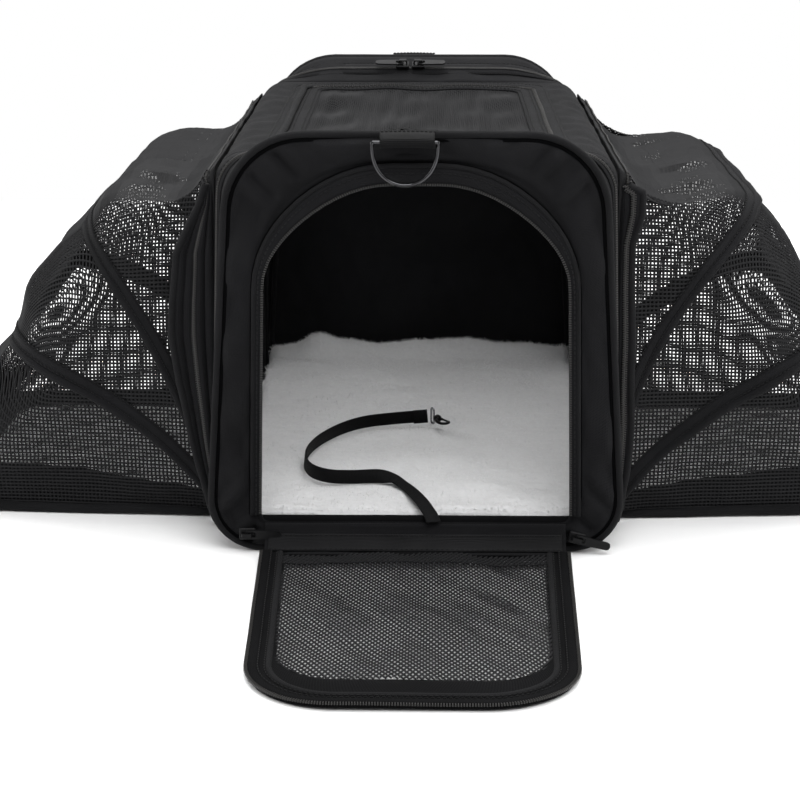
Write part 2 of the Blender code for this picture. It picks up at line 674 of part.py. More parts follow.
def build_rings():
    """A webbing tab sewn in under the top of each end frame's piping, and the D-ring in its loop."""
    for end, sign in (("front", -1), ("rear", 1)):
        bar_y = sign * (END_Y + RING_AHEAD)
        bar_r = 0.0016
        outline = [(RING_X - RING_HALF, 0.0), (RING_X + RING_HALF, 0.0)]
        for step in range(1, 10):
            angle = math.pi * step / 10
            outline.append((RING_X + RING_HALF * math.cos(angle), -RING_DROP * math.sin(angle) ** 0.8))
        points = [(x, bar_y, RING_Z + z) for x, z in outline]
        ring = tube(f"{end}_d_ring", points, bar_r, "bright_metal", closed=True)
        set_origin(ring, (RING_X, bar_y, RING_Z))

        out = END_Y + RING_AHEAD
        strap = [(END_Y + 0.0008, 0.2848), (END_Y + 0.0060, 0.2852), (END_Y + 0.0120, 0.2848)]
        eye = 0.0031
        for step in range(7):
            angle = math.radians(52 - 232 * step / 6)
            strap.append((out + eye * math.cos(angle), RING_Z + eye * math.sin(angle)))
        strap += [(out - eye - 0.0003, RING_Z + 0.0022)]
        rows = [[(TAB_X + x, sign * y, z) for y, z in strap] for x in (-TAB_WIDTH / 2, TAB_WIDTH / 2)]
        sheet(f"{end}_ring_tab", rows, 0.0012, "webbing")


def build_tether():
    path = smooth_path(TETHER_ROUTE, 3)
    tube("tether_webbing", path, TETHER_R, "webbing")
    end = Vector(TETHER_ROUTE[-1]) + Vector(HOOK_FROM_STRAP)
    turn = math.radians(HOOK_TURN)
    along = Vector((math.cos(turn), math.sin(turn), 0))
    # eye of the swivel stands on edge, and its stem runs into the hook's barrel
    matrix = frame_at(end, along, (0, 0, 1)) @ Matrix.Rotation(math.pi / 2, 4, "X")
    eye_out = box_outline((-0.0040, -0.0068), (0.0022, 0.0068), 0.0020, 3)
    eye_in = box_outline((-0.0024, -0.0052), (0.0006, 0.0052), 0.0008, 2)
    eye = curve_to_mesh(plate("tether_swivel", [eye_out, eye_in], 0.0016, "bright_metal", matrix))
    stem = rod("tether_swivel_stem", end, along, 0.0014, 0.0052, 0.0009)
    combine(eye, stem, "UNION")

    # hook: a flat open loop with a barrel round the end of the stem
    flat = frame_at(end, along, (0, 0, 1))
    plate("snap_hook", [hook_outline()], 0.0024, "dark_metal", flat)
    gate_outline = [(0.0105, 0.0016), (0.0188, 0.0022), (0.0188, 0.0034), (0.0105, 0.0029)]
    gate = plate("snap_hook_gate", [gate_outline], 0.0016, "dark_metal", flat)
    set_origin(gate, flat @ Vector((*GATE_PIVOT, 0)))


def rod(name, origin, along, start, end, radius):
    mesh = bpy.data.meshes.new(name)
    build = bmesh.new()
    bmesh.ops.create_cone(build, cap_ends=True, segments=10, radius1=radius, radius2=radius,
                          depth=end - start)
    build.to_mesh(mesh)
    build.free()
    centre = Vector(origin) + along * (start + end) / 2
    return add_part(name, mesh, "bright_metal", frame_at(centre, (0, 0, 1), along))


def hook_outline():
    """Flat hook: shank, curved nose and open mouth on one side. Local X runs to the nose."""
    shank = [(0.0056, -0.0034), (0.0056, 0.0034), (0.0098, 0.0034), (0.0098, 0.0006)]
    inside = [(0.0185 + 0.0026 * math.cos(a), -0.0008 + 0.0034 * math.sin(a))
              for a in (math.radians(deg) for deg in (-90, -50, -10, 30, 60))]
    outside = [(0.0185 + 0.0046 * math.cos(a), -0.0004 + 0.0052 * math.sin(a))
               for a in (math.radians(deg) for deg in (60, 30, -10, -50, -90))]
    return [*shank, (0.0115, -0.0020), *inside, *outside, (0.0100, -0.0048)]


ZIP_Y = abs(build_end("front", -1.0))
build_end("rear", 1.0)
build_top()
build_floor()
build_side_tapes()
build_door()
for wing in SIDES:
    build_wing(wing)
build_sliders(ZIP_Y)
build_rings()
build_tether()
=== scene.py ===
"""Looks of the soft-sided pet carrier bag, built round its fixed frame.

Metres, +Z up, +X to the right of the end door, -Y out of the door, origin on the floor under the body.
Sewn panels are smooth surfaces with their folds and stitches, nets are real threads, and zips have teeth.
"""
import math

import bpy
import numpy as np
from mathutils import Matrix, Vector


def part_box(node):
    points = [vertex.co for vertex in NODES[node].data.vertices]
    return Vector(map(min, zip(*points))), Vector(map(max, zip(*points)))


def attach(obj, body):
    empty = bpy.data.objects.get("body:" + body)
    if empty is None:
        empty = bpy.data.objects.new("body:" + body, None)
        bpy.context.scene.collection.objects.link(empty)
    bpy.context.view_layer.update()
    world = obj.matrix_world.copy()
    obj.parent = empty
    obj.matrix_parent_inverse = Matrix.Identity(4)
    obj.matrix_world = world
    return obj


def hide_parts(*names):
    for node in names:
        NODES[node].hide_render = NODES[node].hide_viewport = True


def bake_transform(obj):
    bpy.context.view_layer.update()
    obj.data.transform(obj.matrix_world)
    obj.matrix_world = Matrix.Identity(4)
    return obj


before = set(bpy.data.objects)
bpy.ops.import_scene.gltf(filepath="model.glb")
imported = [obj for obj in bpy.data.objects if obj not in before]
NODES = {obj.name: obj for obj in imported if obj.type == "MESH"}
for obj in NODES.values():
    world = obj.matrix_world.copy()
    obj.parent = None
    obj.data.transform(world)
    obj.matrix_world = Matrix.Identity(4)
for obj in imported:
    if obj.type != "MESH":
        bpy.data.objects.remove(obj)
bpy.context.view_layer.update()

# ---------------------------------------------------------------- driving dimensions, from the frame
END_Y = -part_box("front_panel")[0].y
END_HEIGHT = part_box("front_piping")[1].z
PIPING_R = 0.0027
PANEL = 0.0025
FABRIC = 0.0020
END_HALF_BOTTOM = 0.1425
END_HALF_TOP = 0.124
MID_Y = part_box("top_panel")[1].y
MID_HALF = 0.1355
MID_HEIGHT = 0.268
SEAM_INSET = 0.0015
ARCH = {"half": 0.1045, "half_top": 0.0985, "foot": 0.0205, "top": 0.264, "radius": 0.085}
DOOR_TIP_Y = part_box("door_border")[0].y
DOOR_START_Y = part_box("door_border")[1].y
DOOR_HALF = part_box("door_border")[1].x
DOOR_HALF_TIP = 0.096
TOP_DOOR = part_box("top_door_border")
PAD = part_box("fleece_pad")
PAD_FRONT_GAP, PAD_REAR_OVER, PAD_ROLL = 0.0125, 0.0030, 0.009
SIDES = {"left": -1.0, "right": 1.0}
ENDS = (("front", -1), ("rear", 1))
SIDE_HALF, SIDE_TOP = 0.1850, 0.2500
PIVOT = (0.136, 0.010)
FLOOR_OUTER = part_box("right_floor_border")[1].x
FLOOR_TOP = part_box("right_floor_border")[1].z
HOOPS = {
    "left": {"hoop_1": (0.230, 0.208, 0.1755, 0.050), "hoop_2": (0.287, 0.122, 0.1685, 0.050)},
    "right": {"hoop_1": (0.238, 0.222, 0.1755, 0.066), "hoop_2": (0.287, 0.122, 0.1685, 0.050)},
}
# how far each sector's roof swells out halfway, and how much more it does near its outer seam
SWELL = {"left": ((0.0020, 0.0105), (0.0110, 0.0), (0.0, 0.0)),
         "right": ((-0.0080, 0.0090), (0.0100, 0.0), (0.0020, 0.0))}
FIN_EDGE = {
    "left": [(0.1430, 0.020), (0.1494, 0.047), (0.1554, 0.081), (0.1614, 0.109), (0.1650, 0.142),
             (0.1645, 0.165), (0.1607, 0.198), (0.1515, 0.217), (0.1444, 0.231)],
    "right": [(0.1420, 0.020), (0.1455, 0.045), (0.1465, 0.080), (0.1455, 0.143), (0.1440, 0.205),
              (0.1500, 0.226), (0.1500, 0.240), (0.1420, 0.243)],
}
# near and far edge of the window in a wing's floor, and half its width
WINDOW = (0.160, 0.336, 0.126)
BOWS = {"left": {"hoop_1": 0.010, "hoop_2": 0.014}, "right": {"hoop_1": 0.026, "hoop_2": 0.014}}
TETHER_ROUTE = [
    (0.0125, -0.2330, 0.0228), (0.0105, -0.2260, 0.0255), (0.0080, -0.2170, 0.0264),
    (0.0035, -0.1980, 0.0264), (-0.0030, -0.1780, 0.0264), (-0.0095, -0.1640, 0.0268),
    (-0.0165, -0.1560, 0.0285), (-0.0270, -0.1555, 0.0300), (-0.0465, -0.1590, 0.0305),
    (-0.0620, -0.1570, 0.0305), (-0.0745, -0.1450, 0.0305), (-0.0805, -0.1240, 0.0305),
    (-0.0800, -0.0980, 0.0305), (-0.0725, -0.0690, 0.0305), (-0.0575, -0.0400, 0.0305),
    (-0.0400, -0.0215, 0.0305), (-0.0150, -0.0125, 0.0310), (0.0060, -0.0135, 0.0330),
]
TETHER_WIDTH = 0.010
TETHER_THICK = 0.0013
HOOK_TURN = math.radians(-62.0)
# pitch and radius of each net's threads, and how far those of a slanted net lean
WING_NET = (0.0028, 0.00070)
TOP_NET, TOP_NET_SLANT = (0.0032, 0.00046), 0.62
FLAP_NET, FLAP_NET_SLANT = (0.0035, 0.00084), 0.60
FLOOR_NET = (0.0030, 0.00025)
TOP_CLEAR, TOP_BORDER, RIDGE_R = 0.0022, 0.012, 0.0022
UP, FORWARD = (0, 0, 1), (0, -1, 0)


# ---------------------------------------------------------------- lines and outlines
def unit(vectors):
    vectors = np.asarray(vectors, float)
    return vectors / np.maximum(np.linalg.norm(vectors, axis=-1, keepdims=True), 1e-12)


def reach_along(line):
    """Distance along a line, at each of its points."""
    return np.concatenate([[0], np.cumsum(np.linalg.norm(np.diff(line, axis=0), axis=1))])


def sampled(line, reach, places):
    """A line's values at the given distances along it."""
    return np.stack([np.interp(places, reach, column) for column in line.T], 1)


def eased(share):
    """A share from 0 to 1 that starts and ends gently."""
    return share * share * (3 - 2 * share)


def resample(line, count, closed=False):
    """The same line with count points evenly along it."""
    line = np.asarray(line, float)
    if closed:
        line = np.vstack([line, line[:1]])
    reach = reach_along(line)
    places = np.linspace(0, reach[-1], count + 1)[:-1] if closed else np.linspace(0, reach[-1], count)
    return sampled(line, reach, places)


def smooth_line(route, per_span):
    """Catmull-Rom curve through a route."""
    knots = np.asarray(route, float)
    knots = np.vstack([2 * knots[0] - knots[1], knots, 2 * knots[-1] - knots[-2]])
    t = np.arange(per_span)[:, None] / per_span
    spans = []
    for a, b, c, d in zip(knots, knots[1:], knots[2:], knots[3:]):
        spans.append(0.5 * (2 * b + (c - a) * t + (2 * a - 5 * b + 4 * c - d) * t ** 2
                            + (3 * b - a - 3 * c + d) * t ** 3))
    return np.vstack([*spans, knots[-2:-1]])


def rounded(corners, radii, steps=10):
    """A polygon's corners replaced by arcs, each of steps + 1 points."""
    corners = [np.array(corner, float) for corner in corners]
    points = []
    for index, radius in enumerate(radii):
        here = corners[index]
        before = unit(corners[index - 1] - here)
        after = unit(corners[(index + 1) % len(corners)] - here)
        half = math.acos(np.clip(before @ after, -1, 1)) / 2
        centre = here + unit(before + after) * radius / math.sin(half)
        start = here + before * radius / math.tan(half) - centre
        turn = math.pi - 2 * half
        if before[0] * after[1] - before[1] * after[0] > 0:
            turn = -turn
        for step in range(steps + 1):
            c, s = math.cos(turn * step / steps), math.sin(turn * step / steps)
            points.append(centre + (c * start[0] - s * start[1], s * start[0] + c * start[1]))
    return np.array(points)


def taper(half_low, half_high, low, high, radius_low, radius_high, grow=0.0, steps=10):
    corners = [(-half_low - grow, low - grow), (half_low + grow, low - grow),
               (half_high + grow, high + grow), (-half_high - grow, high + grow)]
    return rounded(corners, [radius_low + grow] * 2 + [radius_high + grow] * 2, steps)


def end_outline(grow=0.0):
    return taper(END_HALF_BOTTOM, END_HALF_TOP, 0, END_HEIGHT, 0.036, 0.055, grow)


def mid_outline(grow=0.0):
    return taper(MID_HALF, MID_HALF, 0, MID_HEIGHT, 0.020, 0.022, grow)


def arch_outline(grow=0.0):
    corners = [(-ARCH["half"] - grow, ARCH["foot"] - grow), (ARCH["half"] + grow, ARCH["foot"] - grow),
               (ARCH["half_top"] + grow, ARCH["top"] + grow),
               (-ARCH["half_top"] - grow, ARCH["top"] + grow)]
    return rounded(corners, [0.006, 0.006, ARCH["radius"] + grow, ARCH["radius"] + grow], 12)


def arch_band_line(grow):
    """The arch from its right foot over the top to its left foot."""
    line = arch_outline(grow)
    return np.vstack([line[25:26] * (1, 0) + (0, ARCH["foot"] + 0.006), line[26:],
                      line[0:1] * (1, 0) + (0, ARCH["foot"] + 0.006)])


def polar(outline, centre, angles):
    """Points of an outline at the given directions from a centre."""
    dense = resample(outline, 4000, closed=True) - centre
    turn = np.arctan2(dense[:, 1], dense[:, 0])
    order = np.argsort(turn)
    radius = np.interp(angles, turn[order], np.linalg.norm(dense, axis=1)[order], period=2 * math.pi)
    return centre + np.stack([np.cos(angles), np.sin(angles)], 1) * radius[:, None]


def ripple(points, seed, wavelength, amount):
    """Smooth uneven waves over any points, from a few sines in fixed random directions."""
    draw = np.random.RandomState(seed)
    points = np.asarray(points, float)
    total = np.zeros(points.shape[:-1])
    for _ in range(7):
        direction = unit(draw.normal(size=points.shape[-1]))
        length = wavelength * draw.uniform(0.6, 1.7)
        total += np.sin(points @ direction * 2 * math.pi / length + draw.uniform(0, 2 * math.pi))
    return total * amount / 2.6


# ---------------------------------------------------------------- geometry
def bag_mesh(name, points, quads, finish, uv=None, smooth=True):
    """A mesh object from arrays. uv is one (u, v) for each point, in metres."""
    mesh = bpy.data.meshes.new(name)
    points = np.ascontiguousarray(points, np.float32).reshape(-1, 3)
    quads = np.ascontiguousarray(quads, np.int32)
    sides = quads.shape[1]
    mesh.vertices.add(len(points))
    mesh.vertices.foreach_set("co", points.ravel())
    mesh.loops.add(quads.size)
    mesh.loops.foreach_set("vertex_index", quads.ravel())
    mesh.polygons.add(len(quads))
    mesh.polygons.foreach_set("loop_start", np.arange(0, quads.size, sides, dtype=np.int32))
    mesh.polygons.foreach_set("loop_total", np.full(len(quads), sides, np.int32))
    mesh.update(calc_edges=True)
    mesh.validate()
    mesh.polygons.foreach_set("use_smooth", np.full(len(mesh.polygons), smooth))
    if uv is not None:
        layer = mesh.uv_layers.new(name="metres")
        corner = np.zeros(len(mesh.loops), np.int32)
        mesh.loops.foreach_get("vertex_index", corner)
        layer.data.foreach_set("uv", np.ascontiguousarray(uv.reshape(-1, 2)[corner], np.float32).ravel())
    mesh.materials.append(finish)
    made = bpy.data.objects.new(name, mesh)
    bpy.context.scene.collection.objects.link(made)
    return made


def grid_quads(rows, columns, closed=False):
    i, j = np.meshgrid(np.arange(rows - 1), np.arange(columns if closed else columns - 1), indexing="ij")
    i, j, k = i.ravel(), j.ravel(), (j.ravel() + 1) % columns
    return np.stack([i * columns + j, i * columns + k, (i + 1) * columns + k, (i + 1) * columns + j], 1)


def grid_uv(grid):
    """Metres along the columns and along the rows of a grid of points."""
    across = np.linalg.norm(np.diff(grid, axis=1), axis=2).mean(0)
    down = np.linalg.norm(np.diff(grid, axis=0), axis=2).mean(1)
    u = np.concatenate([[0], np.cumsum(across)])
    v = np.concatenate([[0], np.cumsum(down)])
    return np.stack(np.meshgrid(u, v), -1)


def grid_normals(grid):
    return unit(np.cross(np.gradient(grid, axis=1), np.gradient(grid, axis=0)))


def cloth(name, grid, thick, finish, closed=False):
    """A sewn panel: a grid of points as a smooth surface with the thickness of its fabric."""
    made = bag_mesh(name, grid, grid_quads(*grid.shape[:2], closed), finish, grid_uv(grid))
    wall = made.modifiers.new("thickness", "SOLIDIFY")
    wall.thickness = thick
    wall.offset = 0.0
    return made


def declare(piece, grid, held="stretched", rests_on=()):
    """Measures the flat size of the grid that a piece was laid out on, and keeps nothing of it."""
    width = round(float(np.linalg.norm(np.diff(grid, axis=1), axis=2).sum(1).max()), 4)
    length = round(float(np.linalg.norm(np.diff(grid, axis=0), axis=2).sum(0).max()), 4)
    if min(width, length) < 0.0125:
        return  # a narrow ribbon is trim, not a sheet


def transport(path, closed=False, up=UP):
    """Tangent, side and up at each point of a path, without twist."""
    path = np.asarray(path, float)
    if closed:
        tangent = unit(np.roll(path, -1, axis=0) - np.roll(path, 1, axis=0))
    else:
        tangent = unit(np.gradient(path, axis=0))
    ups = np.zeros_like(path)
    here = np.asarray(up, float)
    for index, along in enumerate(tangent):
        here = unit(here - along * (here @ along))
        ups[index] = here
    return tangent, np.cross(tangent, ups), ups


def tube_arrays(path, radius, sides=10, closed=False, up=UP, squeeze=1.0):
    """Points and quads of a tube. radius is a number or one for each point."""
    path = np.asarray(path, float)
    _, side, ups = transport(path, closed, up)
    radius = np.broadcast_to(np.asarray(radius, float), (len(path),))
    turn = np.arange(sides) * 2 * math.pi / sides
    ring = side[:, None] * np.cos(turn)[None, :, None] + squeeze * ups[:, None] * np.sin(turn)[None, :, None]
    points = path[:, None] + ring * radius[:, None, None]
    rows = len(path)
    if closed:
        points = np.concatenate([points, points[:1]])
        rows += 1
    quads = grid_quads(rows, sides, closed=True)
    if closed:
        quads = quads % (sides * (rows - 1))
        points = points[:-1]
    return points.reshape(-1, 3), quads


def tube(name, path, radius, finish, sides=10, closed=False, up=UP, squeeze=1.0):
    points, quads = tube_arrays(path, radius, sides, closed, up, squeeze)
    width = 2 * math.pi * float(np.mean(radius))
    uv = np.stack(np.meshgrid(np.linspace(0, width, sides), reach_along(path)), -1)
    made = bag_mesh(name, points, quads, finish, uv)
    if not closed:
        caps = made.modifiers.new("caps", "SOLIDIFY")
        caps.thickness = min(0.0006, float(np.min(radius)) * 0.5)
    return made


def bars(centres, along, side, up, size, taper_top=0.75):
    """Small six-sided solids, one at each centre, narrower on top: teeth and stitches."""
    centres, along, side, up = (np.asarray(x, float) for x in (centres, along, side, up))
    half = np.asarray(size, float) / 2
    points = []
    for z, scale in ((-1, 1.0), (1, taper_top)):
        for x, y in ((-1, -1), (1, -1), (1, 1), (-1, 1)):
            corner = along * (x * half[0] * scale) + side * (y * half[1] * scale) + up * (z * half[2])
            points.append(centres + corner)
    points = np.stack(points, 1)
    faces = np.array([(0, 3, 2, 1), (4, 5, 6, 7), (0, 1, 5, 4), (1, 2, 6, 5), (2, 3, 7, 6), (3, 0, 4, 7)])
    quads = (np.arange(len(centres))[:, None, None] * 8 + faces[None]).reshape(-1, 4)
    return points.reshape(-1, 3), quads


def merged(parts):
    """Several (points, quads) as one."""
    points, quads, first = [], [], 0
    for p, q in parts:
        points.append(p)
        quads.append(q + first)
        first += len(p)
    return np.vstack(points), np.vstack(quads)


def along_line(path, normals, pitch, closed=False):
    """Places every pitch along a path, with tangent, side and normal."""
    path = np.asarray(path, float)
    normals = np.broadcast_to(np.asarray(normals, float), path.shape)
    if closed:
        path, normals = np.vstack([path, path[:1]]), np.vstack([normals, normals[:1]])
    reach = reach_along(path)
    places = np.arange(pitch / 2, reach[-1], pitch)
    at, up = sampled(path, reach, places), unit(sampled(normals, reach, places))
    along = unit(sampled(path, reach, places + pitch / 4) - sampled(path, reach, places - pitch / 4))
    side = unit(np.cross(up, along))
    return at, along, side, unit(np.cross(along, side))


def stitches(path, normals, lift=0.0004, pitch=0.0034, length=0.0024, closed=False):
    at, along, side, up = along_line(path, normals, pitch, closed)
    return bars(at + up * lift, along, side, up, (length, 0.0007, 0.0006), 0.7)


def teeth(path, normals, lift=0.0005, pitch=0.0016, width=0.0024, one_sided=False):
    """Two rows of zip teeth that mesh, or one row for half of an open zip."""
    at, along, side, up = along_line(path, normals, pitch)
    at = at + up * lift
    size = (0.0009, width, 0.0012)
    rows = [bars(at, along, side, up, size, 0.7)]
    if not one_sided:
        rows.append(bars(at + along * pitch / 2 + side * width * 0.55, along, side, up, size, 0.7))
    return merged(rows)


def net_lines(points, triangles, field, pitch, extra=None):
    """Where a field over a surface crosses each whole multiple of pitch, as short straight pieces."""
    value = field[triangles] / pitch + 0.3137
    low, high = np.ceil(value.min(1)), np.floor(value.max(1))
    count = np.maximum(high - low + 1, 0).astype(int)
    index = np.repeat(np.arange(len(triangles)), count)
    start = np.repeat(np.cumsum(count) - count, count)
    level = low[index] + (np.arange(len(index)) - start)
    near = value[index]
    far = np.roll(near, -1, axis=1)
    with np.errstate(divide="ignore", invalid="ignore"):
        share = (level[:, None] - near) / (far - near)
    crosses = (near < level[:, None]) != (far < level[:, None])
    good = crosses.sum(1) == 2
    index, share, crosses = index[good], share[good], crosses[good]
    corner = triangles[index]
    after = np.roll(corner, -1, axis=1)

    def at(values):
        mixed = values[corner] + (values[after] - values[corner]) * (
            share if values.ndim == 1 else share[..., None])
        return mixed[crosses].reshape(len(index), 2, *values.shape[1:])

    return at(points), (None if extra is None else at(extra))


def net_threads(grid, fields, pitch, radius, normals, extra=None, keep=None, thin=False):
    """Threads of a net over a grid of points, along the lines of each field. extra is carried along.

    A thread is a low arched strip, or a three-sided rod where it is thin.
    """
    rows, columns = grid.shape[:2]
    quads = grid_quads(rows, columns)
    triangles = np.vstack([quads[:, [0, 1, 2]], quads[:, [0, 2, 3]]])
    flat, flat_normals = grid.reshape(-1, 3), normals.reshape(-1, 3)
    carried = np.hstack([flat_normals, (np.zeros(len(flat)) if extra is None else extra.ravel())[:, None]])
    points, quads_out, shares, first = [], [], [], 0
    for number, field in enumerate(fields):
        ends, more = net_lines(flat, triangles, field.ravel(), pitch, carried)
        if keep is not None:
            inside = keep(ends.mean(1))
            ends, more = ends[inside], more[inside]
        along = unit(ends[:, 1] - ends[:, 0])
        normal = unit(more[..., :3].mean(1))
        side = unit(np.cross(along, normal))
        lift = normal * radius * (0.4 if number else -0.4)
        if thin:
            foot = -0.5 * normal
            ring = [normal * radius, (foot + 0.87 * side) * radius, (foot - 0.87 * side) * radius]
        else:
            ring = [side * radius, normal * radius * 0.8, -side * radius]
        made = np.stack([ends[:, end] + lift + offset for end in (0, 1) for offset in ring], 1)
        base = np.array([(0, 1, 4, 3), (1, 2, 5, 4), (2, 0, 3, 5)][:3 if thin else 2])
        quads_out.append((np.arange(len(made))[:, None, None] * 6 + base[None]).reshape(-1, 4) + first)
        points.append(made.reshape(-1, 3))
        shares.append(np.repeat(more[..., 3], 3, axis=1).ravel())
        first += len(made) * 6
    return np.vstack(points), np.vstack(quads_out), np.concatenate(shares)


def share_out(piece):
    """Bakes a piece's placement into its points.
    """
    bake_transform(piece)


# ---------------------------------------------------------------- materials
def shader_tree(name):
    made = bpy.data.materials.new(name)
    made.use_nodes = True
    tree = made.node_tree
    return made, tree, tree.nodes["Principled BSDF"], tree.nodes.new("ShaderNodeTexCoord").outputs


def node(tree, kind, **values):
    made = tree.nodes.new(kind)
    for key, value in values.items():
        if key in made.inputs:
            made.inputs[key].default_value = value
        else:
            setattr(made, key, value)
    return made


def math_node(tree, operation, first, second):
    made = tree.nodes.new("ShaderNodeMath")
    made.operation = operation
    for socket, value in zip(made.inputs, (first, second)):
        if isinstance(value, (int, float)):
            socket.default_value = value
        else:
            tree.links.new(value, socket)
    return made.outputs[0]


def noise_at(tree, coordinate, scale, detail=3.0):
    made = node(tree, "ShaderNodeTexNoise", Scale=scale, Detail=detail)
    tree.links.new(coordinate, made.inputs["Vector"])
    return made.outputs["Fac"]


def ramp(tree, value, low, high):
    """A value from 0 to 1 turned into a number from low to high."""
    made = tree.nodes.new("ShaderNodeMapRange")
    made.inputs["To Min"].default_value = low
    made.inputs["To Max"].default_value = high
    tree.links.new(value, made.inputs["Value"])
    return made.outputs["Result"]


def colour_by(tree, shader, colour, factor):
    """Base colour times a factor that varies over the surface."""
    made = tree.nodes.new("ShaderNodeVectorMath")
    made.operation = "SCALE"
    made.inputs[0].default_value = colour
    tree.links.new(factor, made.inputs["Scale"])
    tree.links.new(made.outputs["Vector"], shader.inputs["Base Color"])


def bump_by(tree, shader, height, strength, distance):
    made = node(tree, "ShaderNodeBump", Strength=strength, Distance=distance)
    tree.links.new(height, made.inputs["Height"])
    tree.links.new(made.outputs["Normal"], shader.inputs["Normal"])


def woven(name, colour, pitch=0.0009, roughness=0.8, sheen=0.02, depth=0.0003, ribs=False, specular=0.10):
    """Woven fabric: plain weave, or ribs across a ribbon, with slubs and broad blotches that are partly
    uneven dye and partly painted crease shade.
    """
    made, tree, shader, at = shader_tree(name)
    scaled = node(tree, "ShaderNodeMapping", Scale=(1 / pitch, 1 / pitch, 1 / pitch))
    tree.links.new(at["UV"], scaled.inputs["Vector"])
    waves = []
    for direction in ("X", "Y"):
        wave = node(tree, "ShaderNodeTexWave", Scale=0.3142, Distortion=0.6, bands_direction=direction)
        wave.inputs["Detail Scale"].default_value = 0.15
        tree.links.new(scaled.outputs["Vector"], wave.inputs["Vector"])
        waves.append(wave.outputs["Fac"])
    if ribs:
        height = waves[1]
    else:
        checker = node(tree, "ShaderNodeTexChecker", Scale=1.0)
        tree.links.new(scaled.outputs["Vector"], checker.inputs["Vector"])
        pick = tree.nodes.new("ShaderNodeMix")
        tree.links.new(checker.outputs["Fac"], pick.inputs["Factor"])
        tree.links.new(waves[0], pick.inputs["A"])
        tree.links.new(waves[1], pick.inputs["B"])
        height = pick.outputs["Result"]
    place = at["Object"]
    # broad blotches, partly uneven dye and partly painted shade that stands in for the panels' crease shading
    dye_and_crease_shade = ramp(tree, noise_at(tree, place, 16.0, 4.0), 0.45, 1.60)
    slub = ramp(tree, noise_at(tree, place, 900.0, 2.0), 0.75, 1.25)
    uneven = math_node(tree, "MULTIPLY", dye_and_crease_shade, slub)
    factor = math_node(tree, "MULTIPLY", uneven, ramp(tree, height, 0.72, 1.22))
    colour_by(tree, shader, colour, factor)
    rough = ramp(tree, noise_at(tree, place, 60.0, 3.0), roughness - 0.08, roughness + 0.08)
    tree.links.new(rough, shader.inputs["Roughness"])
    bump_by(tree, shader, height, 0.6, depth)
    shader.inputs["Sheen Weight"].default_value = sheen
    shader.inputs["Sheen Roughness"].default_value = 0.45
    shader.inputs["Specular IOR Level"].default_value = specular
    return made


def thread(name, colour, roughness=0.6, sheen=0.2, grain=1800.0):
    """Yarn of nets, stitches and fuzz, where the shape itself carries the pattern."""
    made, tree, shader, at = shader_tree(name)
    place = at["Object"]
    fine = noise_at(tree, place, grain, 2.0)
    broad = ramp(tree, noise_at(tree, place, 25.0, 3.0), 0.8, 1.2)
    colour_by(tree, shader, colour, math_node(tree, "MULTIPLY", broad, ramp(tree, fine, 0.7, 1.3)))
    tree.links.new(ramp(tree, fine, roughness - 0.1, roughness + 0.1), shader.inputs["Roughness"])
    bump_by(tree, shader, fine, 0.4, 0.0002)
    shader.inputs["Sheen Weight"].default_value = sheen
    shader.inputs["Specular IOR Level"].default_value = 0.11
    return made


def metal(name, colour, roughness, metallic=1.0):
    """Metal or painted metal with fine scratches and worn, uneven gloss."""
    made, tree, shader, at = shader_tree(name)
    place = at["Object"]
    stretched = node(tree, "ShaderNodeMapping", Scale=(120.0, 900.0, 900.0))
    tree.links.new(place, stretched.inputs["Vector"])
    scratches = noise_at(tree, stretched.outputs["Vector"], 1.0, 5.0)
    wear = noise_at(tree, place, 160.0, 4.0)
    colour_by(tree, shader, colour, ramp(tree, wear, 0.82, 1.12))
    rough = math_node(tree, "MULTIPLY", ramp(tree, scratches, roughness * 0.7, roughness * 1.4),
                      ramp(tree, wear, 0.8, 1.25))
    tree.links.new(rough, shader.inputs["Roughness"])
    bump_by(tree, shader, scratches, 0.15, 0.0001)
    shader.inputs["Metallic"].default_value = metallic
    shader.inputs["Specular IOR Level"].default_value = 0.2
    return made


def moulded(name, colour, roughness=0.4):
    """Moulded plastic, for zip teeth and the stiff base board."""
    made, tree, shader, at = shader_tree(name)
    place = at["Object"]
    grain = noise_at(tree, place, 1200.0, 3.0)
    colour_by(tree, shader, colour, ramp(tree, noise_at(tree, place, 90.0), 0.85, 1.15))
    tree.links.new(ramp(tree, grain, roughness - 0.08, roughness + 0.1), shader.inputs["Roughness"])
    bump_by(tree, shader, grain, 0.2, 0.0001)
    shader.inputs["Specular IOR Level"].default_value = 0.35
    return made


def pile(name, colour):
    """Short plush pile: clumps and hollows that light scatters through."""
    made, tree, shader, at = shader_tree(name)
    place = at["Object"]
    clumps = noise_at(tree, place, 260.0, 5.0)
    broad = noise_at(tree, place, 18.0, 3.0)
    factor = math_node(tree, "MULTIPLY", ramp(tree, clumps, 0.90, 1.06), ramp(tree, broad, 0.95, 1.05))
    colour_by(tree, shader, colour, factor)
    shader.inputs["Roughness"].default_value = 0.95
    shader.inputs["Sheen Weight"].default_value = 0.5
    shader.inputs["Sheen Roughness"].default_value = 0.6
    shader.inputs["Subsurface Weight"].default_value = 0.15
    shader.inputs["Subsurface Radius"].default_value = (0.004, 0.004, 0.004)
    shader.inputs["Specular IOR Level"].default_value = 0.2
    bump_by(tree, shader, clumps, 0.5, 0.0015)
    return made


